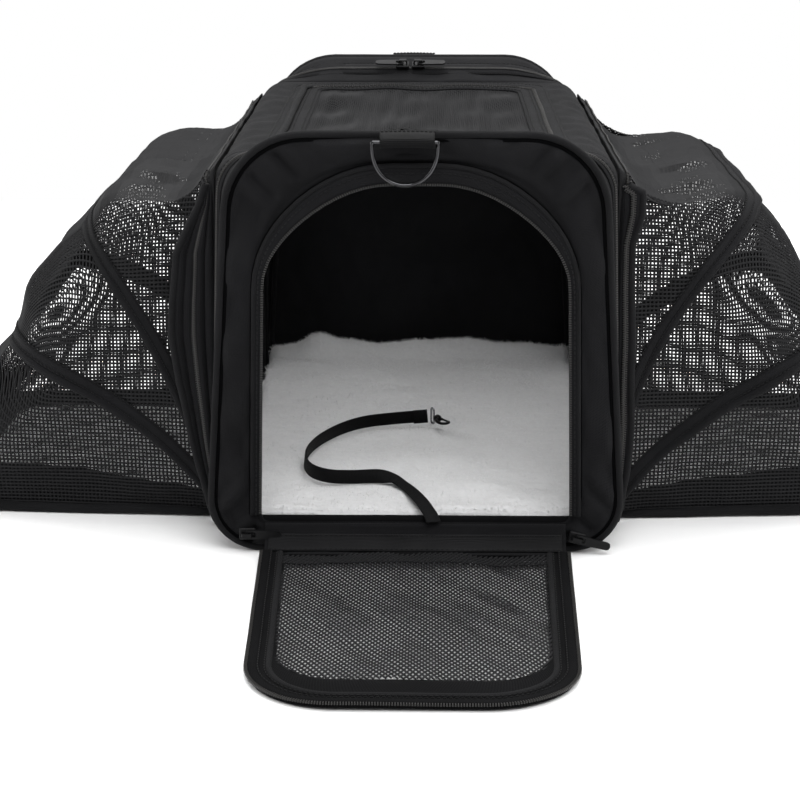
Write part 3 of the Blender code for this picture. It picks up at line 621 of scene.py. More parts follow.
BLACK = woven("black_oxford", (0.0048, 0.0048, 0.0056), sheen=0.022, specular=0.13)
DOOR = woven("black_door_fabric", (0.0026, 0.0026, 0.0030), sheen=0.010, specular=0.06)
# near-black colour for strips of painted shade along the piping and the door opening's edge
SHADE = woven("painted_recess_shade", (0.0012, 0.0012, 0.0014), sheen=0.0, specular=0.02)
TRIM = woven("black_piping", (0.0058, 0.0058, 0.0065), pitch=0.0007, roughness=0.7, sheen=0.025)
RIBBON = woven("black_ribbon", (0.0066, 0.0066, 0.0072), pitch=0.0011, roughness=0.62, sheen=0.025, ribs=True)
STRAP = woven("black_webbing", (0.0036, 0.0036, 0.0040), pitch=0.0010, roughness=0.68, sheen=0.012, ribs=True)
NET = thread("black_net", (0.0100, 0.0100, 0.0108), sheen=0.03)
YARN = thread("black_stitching", (0.0066, 0.0066, 0.0070), roughness=0.55, sheen=0.02)
TEETH = moulded("black_zip_teeth", (0.032, 0.031, 0.030), roughness=0.30)
BOARD = moulded("black_board", (0.008, 0.008, 0.008), roughness=0.7)
PILE = pile("white_plush", (0.69, 0.69, 0.695))
FUZZ = thread("white_fuzz", (0.76, 0.76, 0.765), roughness=0.9, sheen=0.4, grain=300.0)
STEEL = metal("bright_steel", (0.32, 0.32, 0.33), roughness=0.22)
NICKEL = metal("black_nickel", (0.055, 0.055, 0.058), roughness=0.14)
GUN = metal("dark_gunmetal", (0.0065, 0.0065, 0.0070), roughness=0.38, metallic=0.4)
SPRING = metal("spring_wire", (0.05, 0.05, 0.052), roughness=0.45)


# ---------------------------------------------------------------- camera, light and floor
LENS, SENSOR = 89.93, 36.0
LIGHTS = [
    ("key", (0.3, -1.4, 1.9), (0.0, -0.1, 0.1), (1.6, 1.2), 34.0),
    ("top", (0.0, 0.4, 1.8), (0.0, 0.0, 0.15), (2.0, 1.4), 46.0),
    ("left", (-1.8, -0.5, 1.0), (-0.2, 0.0, 0.1), (1.0, 1.2), 12.0),
    ("right", (1.8, -0.5, 1.0), (0.2, 0.0, 0.1), (1.0, 1.2), 12.0),
]
HORIZON = 0.03
ROOM_STRENGTH = 0.46


def camera_and_light():
    scene = bpy.context.scene
    data = bpy.data.cameras.new("camera")
    data.lens, data.sensor_width, data.clip_end = LENS, SENSOR, 50.0
    camera = bpy.data.objects.new("camera", data)
    camera.location = (0.0089, -1.2758 - END_Y, 0.4704)
    camera.rotation_euler = (math.pi / 2 - 0.27744, 0, 0.01506)
    scene.collection.objects.link(camera)
    scene.camera = camera
    for name, place, target, size, power in LIGHTS:
        lamp = bpy.data.lights.new(name, "AREA")
        lamp.shape = "RECTANGLE"
        lamp.size, lamp.size_y = size
        lamp.energy = power
        made = bpy.data.objects.new(name, lamp)
        made.location = place
        made.rotation_euler = (Vector(target) - Vector(place)).to_track_quat("-Z", "Y").to_euler()
        scene.collection.objects.link(made)
    # white below the horizon, where the camera looks, and a dimmer room above it
    world = bpy.data.worlds.new("studio")
    world.use_nodes = True
    tree = world.node_tree
    tree.nodes["Background"].inputs[0].default_value = (1.0, 1.0, 1.0, 1.0)
    split = tree.nodes.new("ShaderNodeSeparateXYZ")
    tree.links.new(tree.nodes.new("ShaderNodeTexCoord").outputs["Generated"], split.inputs[0])
    level = tree.nodes.new("ShaderNodeMapRange")
    for socket, value in (("From Min", -HORIZON), ("From Max", HORIZON),
                          ("To Min", 1.0), ("To Max", ROOM_STRENGTH)):
        level.inputs[socket].default_value = value
    tree.links.new(split.outputs["Z"], level.inputs["Value"])
    tree.links.new(level.outputs["Result"], tree.nodes["Background"].inputs[1])
    scene.world = world
    scene.view_settings.view_transform = "Standard"


def floor_sheet():
    """A pale floor, lit as brightly as what lies behind it."""
    made, tree, shader, at = shader_tree("pale_floor")
    colour_by(tree, shader, (0.93, 0.93, 0.93), ramp(tree, noise_at(tree, at["Object"], 3.0), 0.99, 1.01))
    shader.inputs["Roughness"].default_value = 0.9
    x, y = np.meshgrid(np.linspace(-1.3, 1.3, 7), np.linspace(-1.4, 1.1, 7))
    grid = np.stack([x, y, np.full_like(x, -0.0002)], -1)
    bag_mesh("studio_floor", grid, grid_quads(*x.shape), made)


# ---------------------------------------------------------------- ways of fitting a piece
def fit(piece, body, stands_for=None):
    """Ties a piece to its body, and hides the node of the frame that it stands for."""
    if body:
        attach(piece, body)
    if stands_for:
        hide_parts(stands_for)
    return piece


def panel(name, grid, thick, finish, body, slot, stands_for=None, closed=False, **kind):
    """A sewn panel on its body."""
    made = fit(cloth(name, grid, thick, finish, closed), body, stands_for)
    declare(made, grid, **kind)
    return made


def netting(name, grid, fields, size, normals, body, stands_for=None, extra=None, keep=None, thin=False,
            **kind):
    """A net, and the shares that its points carry. size is (pitch, radius)."""
    points, quads, shares = net_threads(grid, fields, *size, normals, extra=extra, keep=keep, thin=thin)
    made = fit(bag_mesh(name, points, quads, NET), body, stands_for)
    declare(made, grid, **kind)
    return made, shares


def chain(name, rows, body, stands_for=None):
    """The teeth of a zip."""
    return fit(bag_mesh(name, *rows, TEETH, smooth=False), body, stands_for)


def seam(name, rows, body):
    """Rows of stitches as one piece."""
    return fit(bag_mesh(name, *merged(rows), YARN, smooth=False), body)


def painted_shade_strip(name, near, far):
    """A strip of painted shade, near-black like a deep recess, laid between a panel's puffed edge and the
    trim beside it, from one line to another.
    """
    fit(cloth(name, np.stack([near, (near + far) / 2, far]), 0.0005, SHADE), "root")


# ---------------------------------------------------------------- tether, with its swivel and hook
def strap(name, path, normals, width, thick, finish):
    """A flat strap with softened edges along a path, capped at both ends."""
    path = np.asarray(path, float)
    tangent = unit(np.gradient(path, axis=0))
    side = unit(np.cross(tangent, normals))
    up = np.cross(side, tangent)
    w, t = width / 2, thick / 2
    section = [(-w, -t * 0.4), (-w * 0.9, -t), (w * 0.9, -t), (w, -t * 0.4),
               (w, t * 0.4), (w * 0.9, t), (-w * 0.9, t), (-w, t * 0.4)]
    points = np.stack([path + side * a + up * b for a, b in section], 1)
    count = len(section)
    caps = np.array([(3, 2, 1, 0), (7, 4, 3, 0), (7, 6, 5, 4)])
    quads = np.vstack([grid_quads(len(path), count, closed=True), caps,
                       caps[:, ::-1] + (len(path) - 1) * count])
    across = np.array([0, 0.05, 0.95, 1.0, 1.0, 0.95, 0.05, 0]) * width
    return bag_mesh(name, points, quads, finish, np.stack(np.meshgrid(across, reach_along(path)), -1))


def make_tether():
    line = smooth_line(TETHER_ROUTE, 8)
    tangent = unit(np.gradient(line, axis=0))
    # the strap lies flat at the seam, and turns on edge between its sixth and ninth points
    place = np.linspace(0, len(TETHER_ROUTE) - 1, len(line))
    turn = (eased(np.clip((place - 5.2) / 2.6, 0, 1)) * math.radians(84))[:, None]
    up = np.array(UP, float)
    flat = unit(up - tangent * (tangent @ up)[:, None])
    normals = flat * np.cos(turn) + np.cross(flat, tangent) * np.sin(turn)
    webbing = strap("tether_strap", line, normals, TETHER_WIDTH, TETHER_THICK, STRAP)
    fit(webbing, "root", "tether_webbing")

    start = np.array(TETHER_ROUTE[-1]) + (0.0062, -0.0004, 0.0)
    along = np.array((math.cos(HOOK_TURN), math.sin(HOOK_TURN), 0.0))
    across = np.array((-along[1], along[0], 0.0))

    def rod(route, radius, sides=8, closed=False):
        """A rod through points of the hook, each given as how far ahead, across and up it lies."""
        places = [(*point, 0.0)[:3] for point in route]
        line = [start + along * x + across * y + up * z for x, y, z in places]
        return tube_arrays(line, radius, sides, closed)

    # eye of the swivel stands on edge and its stem runs into the hook's barrel
    corners = [(-0.0032, -0.0060), (0.0014, -0.0060), (0.0014, 0.0060), (-0.0032, 0.0060)]
    ring = rounded(corners, [0.0018] * 4, 5)
    eye = rod([(x, 0, z) for x, z in resample(ring, 48, closed=True)], 0.0008, closed=True)
    stem = rod([(x, 0) for x in np.linspace(0.0014, 0.0058, 5)], 0.0009)
    swivel = bag_mesh("tether_swivel_eye", *merged([eye, stem]), STEEL)
    fit(swivel, "root", "tether_swivel")

    # fold of the strap round the eye, sewn down
    back = unit(line[-10] - line[-1])
    fold_line = line[-1] + np.array((0.0018, 0, 0)) + back * np.linspace(0, 0.011, 8)[:, None]
    fold_normals = np.repeat(unit(np.cross(back, up))[None], 8, axis=0)
    fold = fit(strap("tether_fold", fold_line, fold_normals, 0.0104, 0.0040, STRAP), "root")

    barrel = rod([(x, 0) for x in (0.0054, 0.0058, 0.0064, 0.0086, 0.0094, 0.0100)],
                 (0.0016, 0.0028, 0.0031, 0.0030, 0.0025, 0.0018), 14)
    jaw = smooth_line([(0.0096, -0.0006), (0.0104, -0.0026), (0.0130, -0.0040), (0.0172, -0.0046),
                       (0.0208, -0.0036), (0.0222, -0.0006), (0.0212, 0.0024), (0.0192, 0.0034)], 5)
    loop = rod(jaw, np.linspace(1.0, 0.75, len(jaw)) * 0.00125, 10)
    lug = rod([(0.0092, 0.0010), (0.0102, 0.0020), (0.0110, 0.0024)], 0.0011)
    hook = bag_mesh("tether_hook", *merged([barrel, loop, lug]), GUN)
    fit(hook, "snap_hook", "snap_hook")
    gate_route = [(0.0105, 0.0023), (0.0130, 0.0026), (0.0160, 0.0029), (0.0192, 0.0031)]
    gate = bag_mesh("tether_hook_gate", *rod(gate_route, 0.0008), GUN)
    fit(gate, "snap_hook_gate", "snap_hook_gate")


# ---------------------------------------------------------------- body
CENTRE = np.array((0.0, 0.140))
DEGREES = np.linspace(-math.pi, math.pi, 361)[:-1]
TURNS = DEGREES + math.radians(0.5)


def spread(near, far, rows):
    """Rows of points from one line across to another."""
    share = np.linspace(0, 1, rows)[:, None, None]
    return near[None] * (1 - share) + far[None] * share


def ring_between(inner, outer, rows, centre=CENTRE, turns=TURNS):
    """Rows of points from one outline out to another, in their plane."""
    return spread(polar(inner, centre, turns), polar(outer, centre, turns), rows)


def within(outline, centre, turns=TURNS):
    """A test that tells which points lie inside an outline on the floor."""
    reach = np.linalg.norm(polar(outline, centre, turns) - centre, axis=1)

    def inside(points):
        offset = points[:, :2] - centre
        turn = np.arctan2(offset[:, 1], offset[:, 0])
        return np.linalg.norm(offset, axis=1) < np.interp(turn, turns, reach, period=2 * math.pi)

    return inside


def filled(outline, rows, columns):
    """A grid of points that fills an upright outline, each row as wide as the outline is there."""
    right = outline[outline[:, 0] > 0]
    right = right[np.argsort(right[:, 1], kind="stable")]
    low, high = right[0, 1], right[-1, 1]
    z = low + (high - low) * (0.5 - 0.5 * np.cos(np.linspace(0, math.pi, rows)))
    half = np.interp(z, right[:, 1], right[:, 0])
    return np.stack([half[:, None] * np.linspace(-1, 1, columns), np.repeat(z[:, None], columns, 1)], -1)


def stand(plane, y):
    """Plane points as points in space at a given Y, which may differ from point to point."""
    return np.stack([plane[..., 0], np.broadcast_to(y, plane.shape[:-1]), plane[..., 1]], -1)


def extruded(x, profile):
    """A row of points along X for each (y, z) of a profile."""
    return np.stack([np.stack([x, np.full(len(x), y), np.full(len(x), z)], -1) for y, z in profile])


def corner_folds(plane, depth):
    """Soft creases that run diagonally into the four corners of an end panel."""
    total = np.zeros(plane.shape[:-1])
    for x, z, slant in ((-0.118, 0.018, 1), (0.118, 0.018, -1), (-0.100, 0.268, -1), (0.100, 0.268, 1)):
        dx, dz = plane[..., 0] - x, plane[..., 1] - z
        across = (dx - slant * dz) / math.sqrt(2)
        near = np.exp(-(dx ** 2 + dz ** 2) / 0.032 ** 2)
        turn = across * 2 * math.pi
        total += near * (np.sin(turn / 0.019 + x * 40) + 0.5 * np.sin(turn / 0.011))
    return total * depth


def end_surface(end):
    """Plane points of an end panel, and how far each one stands out."""
    outer = end_outline(-(2 * PIPING_R - 0.0012))
    if end == "front":
        # flat under the opening's ribbon, then puffed out as far as the piping
        rows, flat = 26, 0.18
        plane = ring_between(arch_outline(), outer, rows)
        edge_in = np.clip((np.linspace(0, 1, rows)[:, None] - flat) / (1 - flat), 0, 1)
        puff = 0.0034 * np.clip(np.sin(edge_in * math.pi), 0, 1) ** 0.55 - 0.0016
        fade = np.clip((np.minimum(edge_in, 1 - edge_in) - 0.09) * 6, 0, 1)
        broad = ripple(plane, 11, 0.075, 0.0016)
    else:
        rows, columns = 60, 70
        plane = filled(outer, rows, columns)
        across, down = (np.clip((1 - np.abs(np.linspace(-1, 1, count))) * 6, 0, 1)
                        for count in (columns, rows))
        fade = across[None] * down[:, None]
        puff = 0.0022 * fade - 0.0012
        broad = ripple(plane * (1, 1.6), 12, 0.110, 0.0036)
    waves = ripple(plane, 13, 0.034, 0.0008) + broad
    return plane, puff + (waves + corner_folds(plane, 0.0026)) * fade


def make_end(end, sign):
    """End panel with its piping and the sleeve of its wire."""
    plane, out = end_surface(end)
    panel(f"{end}_end_panel", stand(plane, sign * (END_Y - PANEL / 2 + out)), PANEL, BLACK,
          "root", "black_fabric", f"{end}_panel", closed=end == "front")

    def frame_line(inset):
        return resample(end_outline(-inset), 320, closed=True)

    rim = frame_line(PIPING_R)
    line = stand(rim, sign * (END_Y - PANEL + 0.0004 + ripple(rim, 21, 0.05, 0.0003)))
    radius = PIPING_R * (1 + ripple(rim, 22, 0.03, 0.02))
    pipe = tube(f"{end}_edge_piping", line, radius, TRIM, 12, closed=True, up=FORWARD)
    fit(pipe, "root", f"{end}_piping")
    # a strip of painted shade inside the piping, where the panel meets it
    lines = []
    for inset, lift in ((-0.0006, -0.0004), (0.0016, 0.0004)):
        line = frame_line(2 * PIPING_R + inset)
        lines.append(stand(np.vstack([line, line[:1]]), sign * (END_Y + lift)))
    painted_shade_strip(f"{end}_panel_shade_strip", *lines)
    line = stand(frame_line(2 * PIPING_R + 0.0035), sign * (END_Y - PANEL - 0.0020))
    fit(tube(f"{end}_wire_sleeve", line, 0.0023, BLACK, 10, closed=True, up=FORWARD), "root")


def make_gusset(end, sign):
    """The gusset, from behind the piping to the lower top panel, with the end zip halfway along it."""
    start_y, seam_y = END_Y - PANEL - PIPING_R - 0.0005, MID_Y + 0.0012
    near, far = (polar(outline(-SEAM_INSET - FABRIC / 2), CENTRE, TURNS)
                 for outline in (end_outline, mid_outline))
    plane = spread(near, far, 9)
    share = np.linspace(0, 1, 9)[:, None]
    place = np.concatenate([plane, np.broadcast_to(share, plane.shape[:2])[..., None] * 0.04], -1)
    wave = ripple(place, 31, 0.045, 0.0010) * np.sin(share * math.pi)
    plane = plane + unit(plane - CENTRE) * wave[..., None]
    panel(f"{end}_side_gusset", stand(plane, sign * (start_y + (seam_y - start_y) * share)), FABRIC, BLACK,
          "root", "black_fabric", f"{end}_gusset", closed=True)

    # the zip runs over both sides and the top
    keep = (TURNS > math.radians(-38)) | (TURNS < math.radians(-142))
    order = np.argsort(np.where(TURNS < -math.pi / 2, TURNS + 2 * math.pi, TURNS)[keep])
    rows = []
    for position, lift in ((0.30, 0.0012), (0.42, 0.0018), (0.5, 0.0020), (0.58, 0.0018), (0.70, 0.0012)):
        mixed = near * (1 - position) + far * position + unit(near - CENTRE) * lift
        rows.append(stand(mixed[keep][order], sign * (start_y + (seam_y - start_y) * position)))
    panel(f"{end}_end_zip_tape", np.stack(rows), 0.0007, BLACK, "root", "zip_tape")
    outward = unit((rows[2] - (0, 0, CENTRE[1])) * (1, 0, 1))
    chain(f"{end}_end_zip_teeth", teeth(rows[2], outward, lift=0.0006), "root", f"{end}_end_zip")
    seam(f"{end}_end_zip_stitches", [stitches(rows[row], outward, lift=0.0006) for row in (0, 4)], "root")


def make_door_opening():
    """Half of the zip sewn round the door opening, and the binding of the opening's edge."""
    count, shoulder = 300, 0.185
    base = resample(arch_band_line(0.0), count)
    high = eased(np.clip((base[:, 1:] - shoulder) / (ARCH["top"] - shoulder), 0, 1))

    def run(at_sides, at_top, lift):
        """A line round the opening, offset by one margin at its sides and another at its top."""
        sides, top = (resample(arch_band_line(margin), count) for margin in (at_sides, at_top))
        return stand(sides * (1 - high) + top * high, -END_Y - lift)

    grid = np.stack([run(*row) for row in ((0.0060, 0.0004, -0.0006), (0.0053, -0.0006, 0.0012),
                                           (0.0042, -0.0030, 0.0020), (0.0026, -0.0065, 0.0018),
                                           (0.0011, -0.0100, 0.0012), (-0.0004, -0.0135, 0.0002))])
    panel("door_opening_zip_tape", grid, 0.0008, BLACK, "root", "zip_tape", "door_zip_tape")
    edge = run(0.0055, -0.0002, 0.0016)
    roll = tube("door_opening_piping", edge, 0.0011 * (1 + ripple(edge, 32, 0.02, 0.06)), TRIM, 8, up=FORWARD)
    fit(roll, "root")
    # a strip of painted shade beside the binding of the opening
    painted_shade_strip("door_opening_shade_strip", run(0.0058, 0.0002, 0.0002), run(0.0078, 0.0020, 0.0008))
    row = teeth(run(0.0002, -0.0126, 0.0010), FORWARD, one_sided=True, width=0.0020)
    chain("door_opening_zip_teeth", row, "root")
    seam("door_opening_stitches", [stitches(run(0.0031, -0.0050, 0.0021), FORWARD)], "root")


def make_lip():
    """Dark lining that stands up inside the foot of the door opening, in front of the pad."""
    profile = smooth_line([(-0.2262, 0.0060), (-0.2262, 0.0160), (-0.2252, 0.0225), (-0.2238, 0.0240),
                           (-0.2222, 0.0222), (-0.2200, 0.0130), (-0.2120, 0.0078)], 5)
    grid = extruded(np.linspace(-0.1075, 0.1075, 90), resample(profile, 22))
    grid[..., 1] += ripple(grid, 98, 0.06, 0.0004)
    panel("door_foot_lining", grid, 0.0010, DOOR, "root", "black_fabric", held="folded")


def top_drop(x, y):
    """How far the soft top hangs below its sewn edges, between the end frames."""
    sag = 0.0040 * np.clip(1 - (x / 0.125) ** 2, 0, 1) * np.clip(1 - (y / MID_Y) ** 2, 0, 1)
    waves = ripple(np.stack([x, y * 0.5], -1), 41, 0.06, 0.0006)
    return sag + waves * np.clip((MID_Y - np.abs(y)) / 0.02, 0, 1)


def box(x, y, radius, steps=10):
    """A rounded rectangle about the middle of the top."""
    return taper(x, x, -y, y, radius, radius, steps=steps)


def make_top():
    """Soft top with the top door in it."""
    section = resample(mid_outline(-SEAM_INSET - FABRIC / 2)[22:], 400)[::-1]
    reach = reach_along(section)
    half = reach[-1] / 2
    reach -= half
    middle = np.zeros(2)

    def on_top(plane):
        x = np.interp(plane[..., 0], reach, section[:, 0])
        z = np.interp(plane[..., 0], reach, section[:, 1]) - top_drop(plane[..., 0], plane[..., 1])
        return np.stack([x, plane[..., 1], z], -1)

    x, y, rows = TOP_DOOR[1].x, TOP_DOOR[1].y, 14
    hole, edge = box(x + TOP_CLEAR, y + TOP_CLEAR, 0.022), box(half, MID_Y, 0.0005, steps=2)
    plane = ring_between(hole, edge, rows, middle)
    grid = on_top(plane)
    fade = np.clip(np.sin(np.linspace(0, math.pi, rows)), 0, 1)[:, None]
    grid[..., 2] += ripple(plane, 42, 0.035, 0.0009) * fade
    panel("soft_top", grid, FABRIC, BLACK, "root", "black_fabric", "top_panel", closed=True)

    def frame_band(inner, outer, lift):
        """A ribbon on the top, from one margin round the top door out to another."""
        bounds = (box(x + grow, y + grow, radius) for grow, radius in (inner, outer))
        grid = on_top(ring_between(*bounds, len(lift), middle))
        grid[..., 2] += np.array(lift)[:, None]
        return grid

    def margin_line(grow, radius):
        return resample(box(x + grow, y + grow, radius), 360, closed=True)

    def zip_teeth(grow, lift):
        """Half of the top zip, on every side but the hinge's."""
        edge = margin_line(grow, 0.020 + grow)
        edge = edge[edge[:, 0] > -x + 0.004]
        edge = edge[np.argsort(np.arctan2(edge[:, 1], edge[:, 0]))]
        return teeth(on_top(edge), UP, one_sided=True, lift=lift)

    # the top door: ribbon border, net and its half of the zip
    grid = frame_band((-TOP_BORDER, 0.012), (0, 0.020), (0.0002, 0.0008, 0.0010, 0.0010, 0.0008, 0.0002))
    panel("top_door_ribbon", grid, 0.0012, BLACK, "top_door", "zip_tape", "top_door_border", closed=True)
    half_u, half_v = x - TOP_BORDER, y - TOP_BORDER
    u, v = np.meshgrid(np.linspace(-half_u - 0.002, half_u + 0.002, 70),
                       np.linspace(-half_v - 0.002, half_v + 0.002, 120))
    flat = np.stack([u, v], -1)
    net = on_top(flat)
    fade = np.clip((half_u - np.abs(u)) / 0.01, 0, 1) * np.clip((half_v - np.abs(v)) / 0.01, 0, 1)
    folds = ripple(np.stack([u, v * 0.10], -1), 43, 0.012, 0.0004) + ripple(flat, 44, 0.08, 0.0008)
    net[..., 2] += folds * fade - 0.0005
    fields = [u + TOP_NET_SLANT * v, u - TOP_NET_SLANT * v]
    netting("top_door_net", net, fields, TOP_NET, grid_normals(net), "top_door", "top_door_mesh")
    chain("top_door_teeth", zip_teeth(0.0006, 0.0012), "top_door")
    seam("top_door_stitches", [stitches(on_top(margin_line(-inset, 0.018)), UP, lift=0.0020, closed=True)
                               for inset in (0.003, 0.0095)], "top_door")

    # the body's half of that zip, its ribbon, and the ridge along the hinge side
    grid = frame_band((0.0015, 0.021), (0.011, 0.026), (0.0014, 0.0020, 0.0022, 0.0020, 0.0012))
    panel("top_opening_ribbon", grid, 0.0010, BLACK, "root", "zip_tape", closed=True)
    chain("top_opening_teeth", zip_teeth(0.0016, 0.0016), "root")
    ridge_flat = np.stack([np.full(90, -x - RIDGE_R), np.linspace(-y + 0.012, y - 0.012, 90)], -1)
    radius = RIDGE_R * (1 + ripple(ridge_flat, 45, 0.03, 0.05))
    fit(tube("top_hinge_ridge", on_top(ridge_flat) + (0, 0, RIDGE_R), radius, TRIM, 10), "root")
    row = stitches(on_top(margin_line(0.0090, 0.025)), UP, lift=0.0026, closed=True)
    seam("top_opening_stitches", [row], "root")


def make_fleece():
    """Plush pad, curled up a little along the rear wall."""
    half_x, half_y, foot = PAD[1].x, PAD[1].y, PAD[0].z
    start, stop = -half_y + PAD_FRONT_GAP, half_y + PAD_REAR_OVER
    x, y = np.meshgrid(np.linspace(-half_x, half_x, 120), np.linspace(start, stop, 210))
    flat = np.stack([x, y], -1)
    flare = 1 + 0.020 * np.clip((y - 0.08) / 0.10, 0, 1)
    wobble = ripple(flat, 51, 0.03, 0.0010)
    edge_in = np.minimum(half_x - np.abs(x), np.minimum(stop - y, y - start))
    round_off = np.sqrt(np.clip(1 - (1 - np.clip(edge_in / PAD_ROLL, 0, 1)) ** 2, 0, 1))
    lumps = ripple(flat, 52, 0.05, 0.0012) + ripple(flat, 53, 0.012, 0.00035)
    # the pad rides up the rear wall, highest at one curled spot on the left
    curl = 0.0085 + 0.0030 * np.clip((x + 0.106) / 0.020, 0, 1) * np.clip((0.118 - x) / 0.020, 0, 1)
    curl = curl + 0.0075 * np.exp(-((x + 0.088) / 0.014) ** 2) + 0.0010 * np.sin(x * 55)
    curl = curl * eased(np.clip((y - (half_y - 0.030)) / 0.030, 0, 1))
    height = PAD[1].z - 0.0010 - foot
    top = foot + height * (0.25 + 0.75 * round_off) + lumps * round_off + curl
    upper = np.stack([x * flare + wobble * 0.4, y + wobble * 0.6, top], -1)
    lower = np.stack([x * 0.885, y * 0.975, np.full_like(x, foot + 0.0002)], -1)
    rows, columns = x.shape
    quads, first = grid_quads(rows, columns), rows * columns
    border = np.concatenate([np.arange(columns), np.arange(1, rows) * columns + columns - 1,
                             first - 2 - np.arange(columns - 1), np.arange(rows - 2, 0, -1) * columns])
    after = np.roll(border, -1)
    wall = np.stack([border, border + first, after + first, after], 1)
    quads = np.vstack([quads, quads[:, ::-1] + first, wall])
    pad = bag_mesh("plush_pad", np.stack([upper, lower]), quads, PILE)
    fit(pad, "root", "fleece_pad")
    make_fibres(upper, pad)


def make_fibres(upper, pad):
    """Loose bent fibres over the pad, thickest along its four edges."""
    draw = np.random.RandomState(54)
    count = 26000
    rows, columns = upper.shape[:2]
    last_u, last_v = columns - 1.1, rows - 1.1
    u, v = draw.uniform(0, columns - 1.001, count), draw.uniform(0, rows - 1.001, count)
    at_edge = draw.uniform(size=count) < 0.45
    side = draw.randint(0, 4, count)
    near = np.abs(draw.normal(0, 1.6, count))
    v = np.where(at_edge & (side == 0), np.clip(near, 0, last_v), v)
    v = np.where(at_edge & (side == 1), np.clip(last_v - near, 0, last_v), v)
    u = np.where(at_edge & (side == 2), np.clip(near, 0, last_u), u)
    u = np.where(at_edge & (side == 3), np.clip(last_u - near, 0, last_u), u)
    place = v.astype(int), u.astype(int)
    roots = upper[place] + draw.normal(0, 0.0006, (count, 3)) * (1, 1, 0.1)
    out = grid_normals(upper)[place]
    out *= np.sign(out[:, 2:3] + 1e-9)
    lean = unit(out + draw.normal(0, 0.75, (count, 3)))
    lean[:, 2] = np.abs(lean[:, 2])
    bend = unit(lean + draw.normal(0, 0.5, (count, 3)))
    length = draw.uniform(0.0012, 0.0034, count)[:, None]
    across = unit(np.cross(lean, draw.normal(size=(count, 3)))) * 0.00013
    middle = roots + lean * length * 0.5
    tip = middle + bend * length * 0.5
    widths = ((roots, 1), (middle, 0.8), (tip, 0.2))
    points = np.stack([spot + across * (width * way) for spot, width in widths for way in (-1, 1)], 1)
    faces = np.array([(0, 1, 3, 2), (2, 3, 5, 4)])
    quads = (np.arange(count)[:, None, None] * 6 + faces[None]).reshape(-1, 4)
    fibres = bag_mesh("plush_fibres", points, quads, FUZZ)
    fibres.parent = pad
    fit(fibres, "root")


# ---------------------------------------------------------------- door flap
FLAP_STEPS = 12
FLAP_BORDER, FLAP_BACK, FLAP_TIP_BORDER = 0.0165, 0.008, 0.0370


def flap_outline(inset, back, radius, tip_inset=None):
    """Outline of the flap, narrower at its tip."""
    tip, start = DOOR_TIP_Y + (inset if tip_inset is None else tip_inset), DOOR_START_Y - back
    corners = [(-DOOR_HALF_TIP + inset, tip), (DOOR_HALF_TIP - inset, tip),
               (DOOR_HALF - inset, start), (-DOOR_HALF + inset, start)]
    return rounded(corners, [radius, radius, 0.003, 0.003], FLAP_STEPS)


def on_floor(plane, z):
    """Points of the flap, which lies loosely on the floor and lifts a little here and there."""
    lift = np.clip(ripple(plane, 61, 0.09, 0.0008) + 0.0006, 0, None)
    return np.stack([plane[..., 0], plane[..., 1], z + lift], -1)


def make_flap():
    """The end door, lying on the floor: border, net, binding and its half of the zip."""
    centre = np.array((0.0, (DOOR_TIP_Y + DOOR_START_Y) / 2))
    laid = {"held": "laid", "rests_on": ["studio_floor"]}
    lift = np.array([0.0, 0.0010, 0.0016, 0.0018, 0.0018, 0.0018, 0.0016, 0.0010, 0.0])[:, None]
    plane = ring_between(flap_outline(FLAP_BORDER, FLAP_BACK, 0.040, FLAP_TIP_BORDER),
                         flap_outline(0.0015, 0.0005, 0.0535), len(lift), centre)
    panel("door_flap_border", on_floor(plane, 0.0014 + lift), 0.0014, DOOR, "door", "black_fabric",
          "door_border", closed=True, **laid)

    half = DOOR_HALF - FLAP_BORDER + 0.004
    low, high = DOOR_TIP_Y + FLAP_BORDER - 0.004, DOOR_START_Y - FLAP_BACK + 0.002
    u, v = np.meshgrid(np.linspace(-half, half, 90), np.linspace(low, high, 100))
    flat = np.stack([u, v], -1)
    folds = ripple(np.stack([u + 0.75 * v, 0.1 * v], -1), 62, 0.034, 0.0007) + ripple(flat, 63, 0.09, 0.0006)
    net = on_floor(flat, 0.0022 + np.clip(folds, -0.0014, None))
    window = flap_outline(FLAP_BORDER - 0.002, FLAP_BACK - 0.002, 0.041, FLAP_TIP_BORDER - 0.002)
    keep = within(window, centre)
    normals = grid_normals(net)
    fields = [u + FLAP_NET_SLANT * v, u - FLAP_NET_SLANT * v]
    netting("door_flap_net", net, fields, FLAP_NET, normals, "door", "door_mesh", keep=keep, **laid)

    # a second layer of net is turned in along the hinge
    rows = v[:, 0] > high - 0.020
    fields = [fields[0][rows] + 0.0015, fields[1][rows]]
    netting("door_flap_net_hem", net[rows] + (0, 0, 0.0009), fields, FLAP_NET, normals[rows], "door",
            keep=keep, **laid)

    def open_run(inset, radius):
        """A line over the flap's sides and its tip, from hinge to hinge."""
        start, reach = DOOR_START_Y - 0.004, DOOR_HALF - inset
        line = flap_outline(inset, 0.0, radius)[:2 * (FLAP_STEPS + 1)]
        return resample(np.vstack([[(-reach, start)], line, [(reach, start)]]), 420)

    grid = np.stack([on_floor(open_run(inset, 0.055 - inset), z) for inset, z in
                     ((0.0012, 0.0038), (0.0035, 0.0044), (0.0060, 0.0044), (0.0082, 0.0038))])
    panel("door_flap_zip_tape", grid, 0.0008, DOOR, "door", "zip_tape", "door_zip_half", held="laid",
          rests_on=["door_flap_border"])
    row = teeth(on_floor(open_run(0.0006, 0.0545), 0.0036), UP, one_sided=True, width=0.0026)
    chain("door_flap_zip_teeth", row, "door")
    line = on_floor(open_run(0.0135, 0.043), 0.0034)
    fit(tube("door_flap_binding", line, 0.0014, TRIM, 8, squeeze=0.8), "door")
    seam("door_flap_stitches", [stitches(on_floor(open_run(inset, 0.055 - inset), z), UP) for inset, z in
                                ((0.0074, 0.0046), (0.0112, 0.0040))], "door")


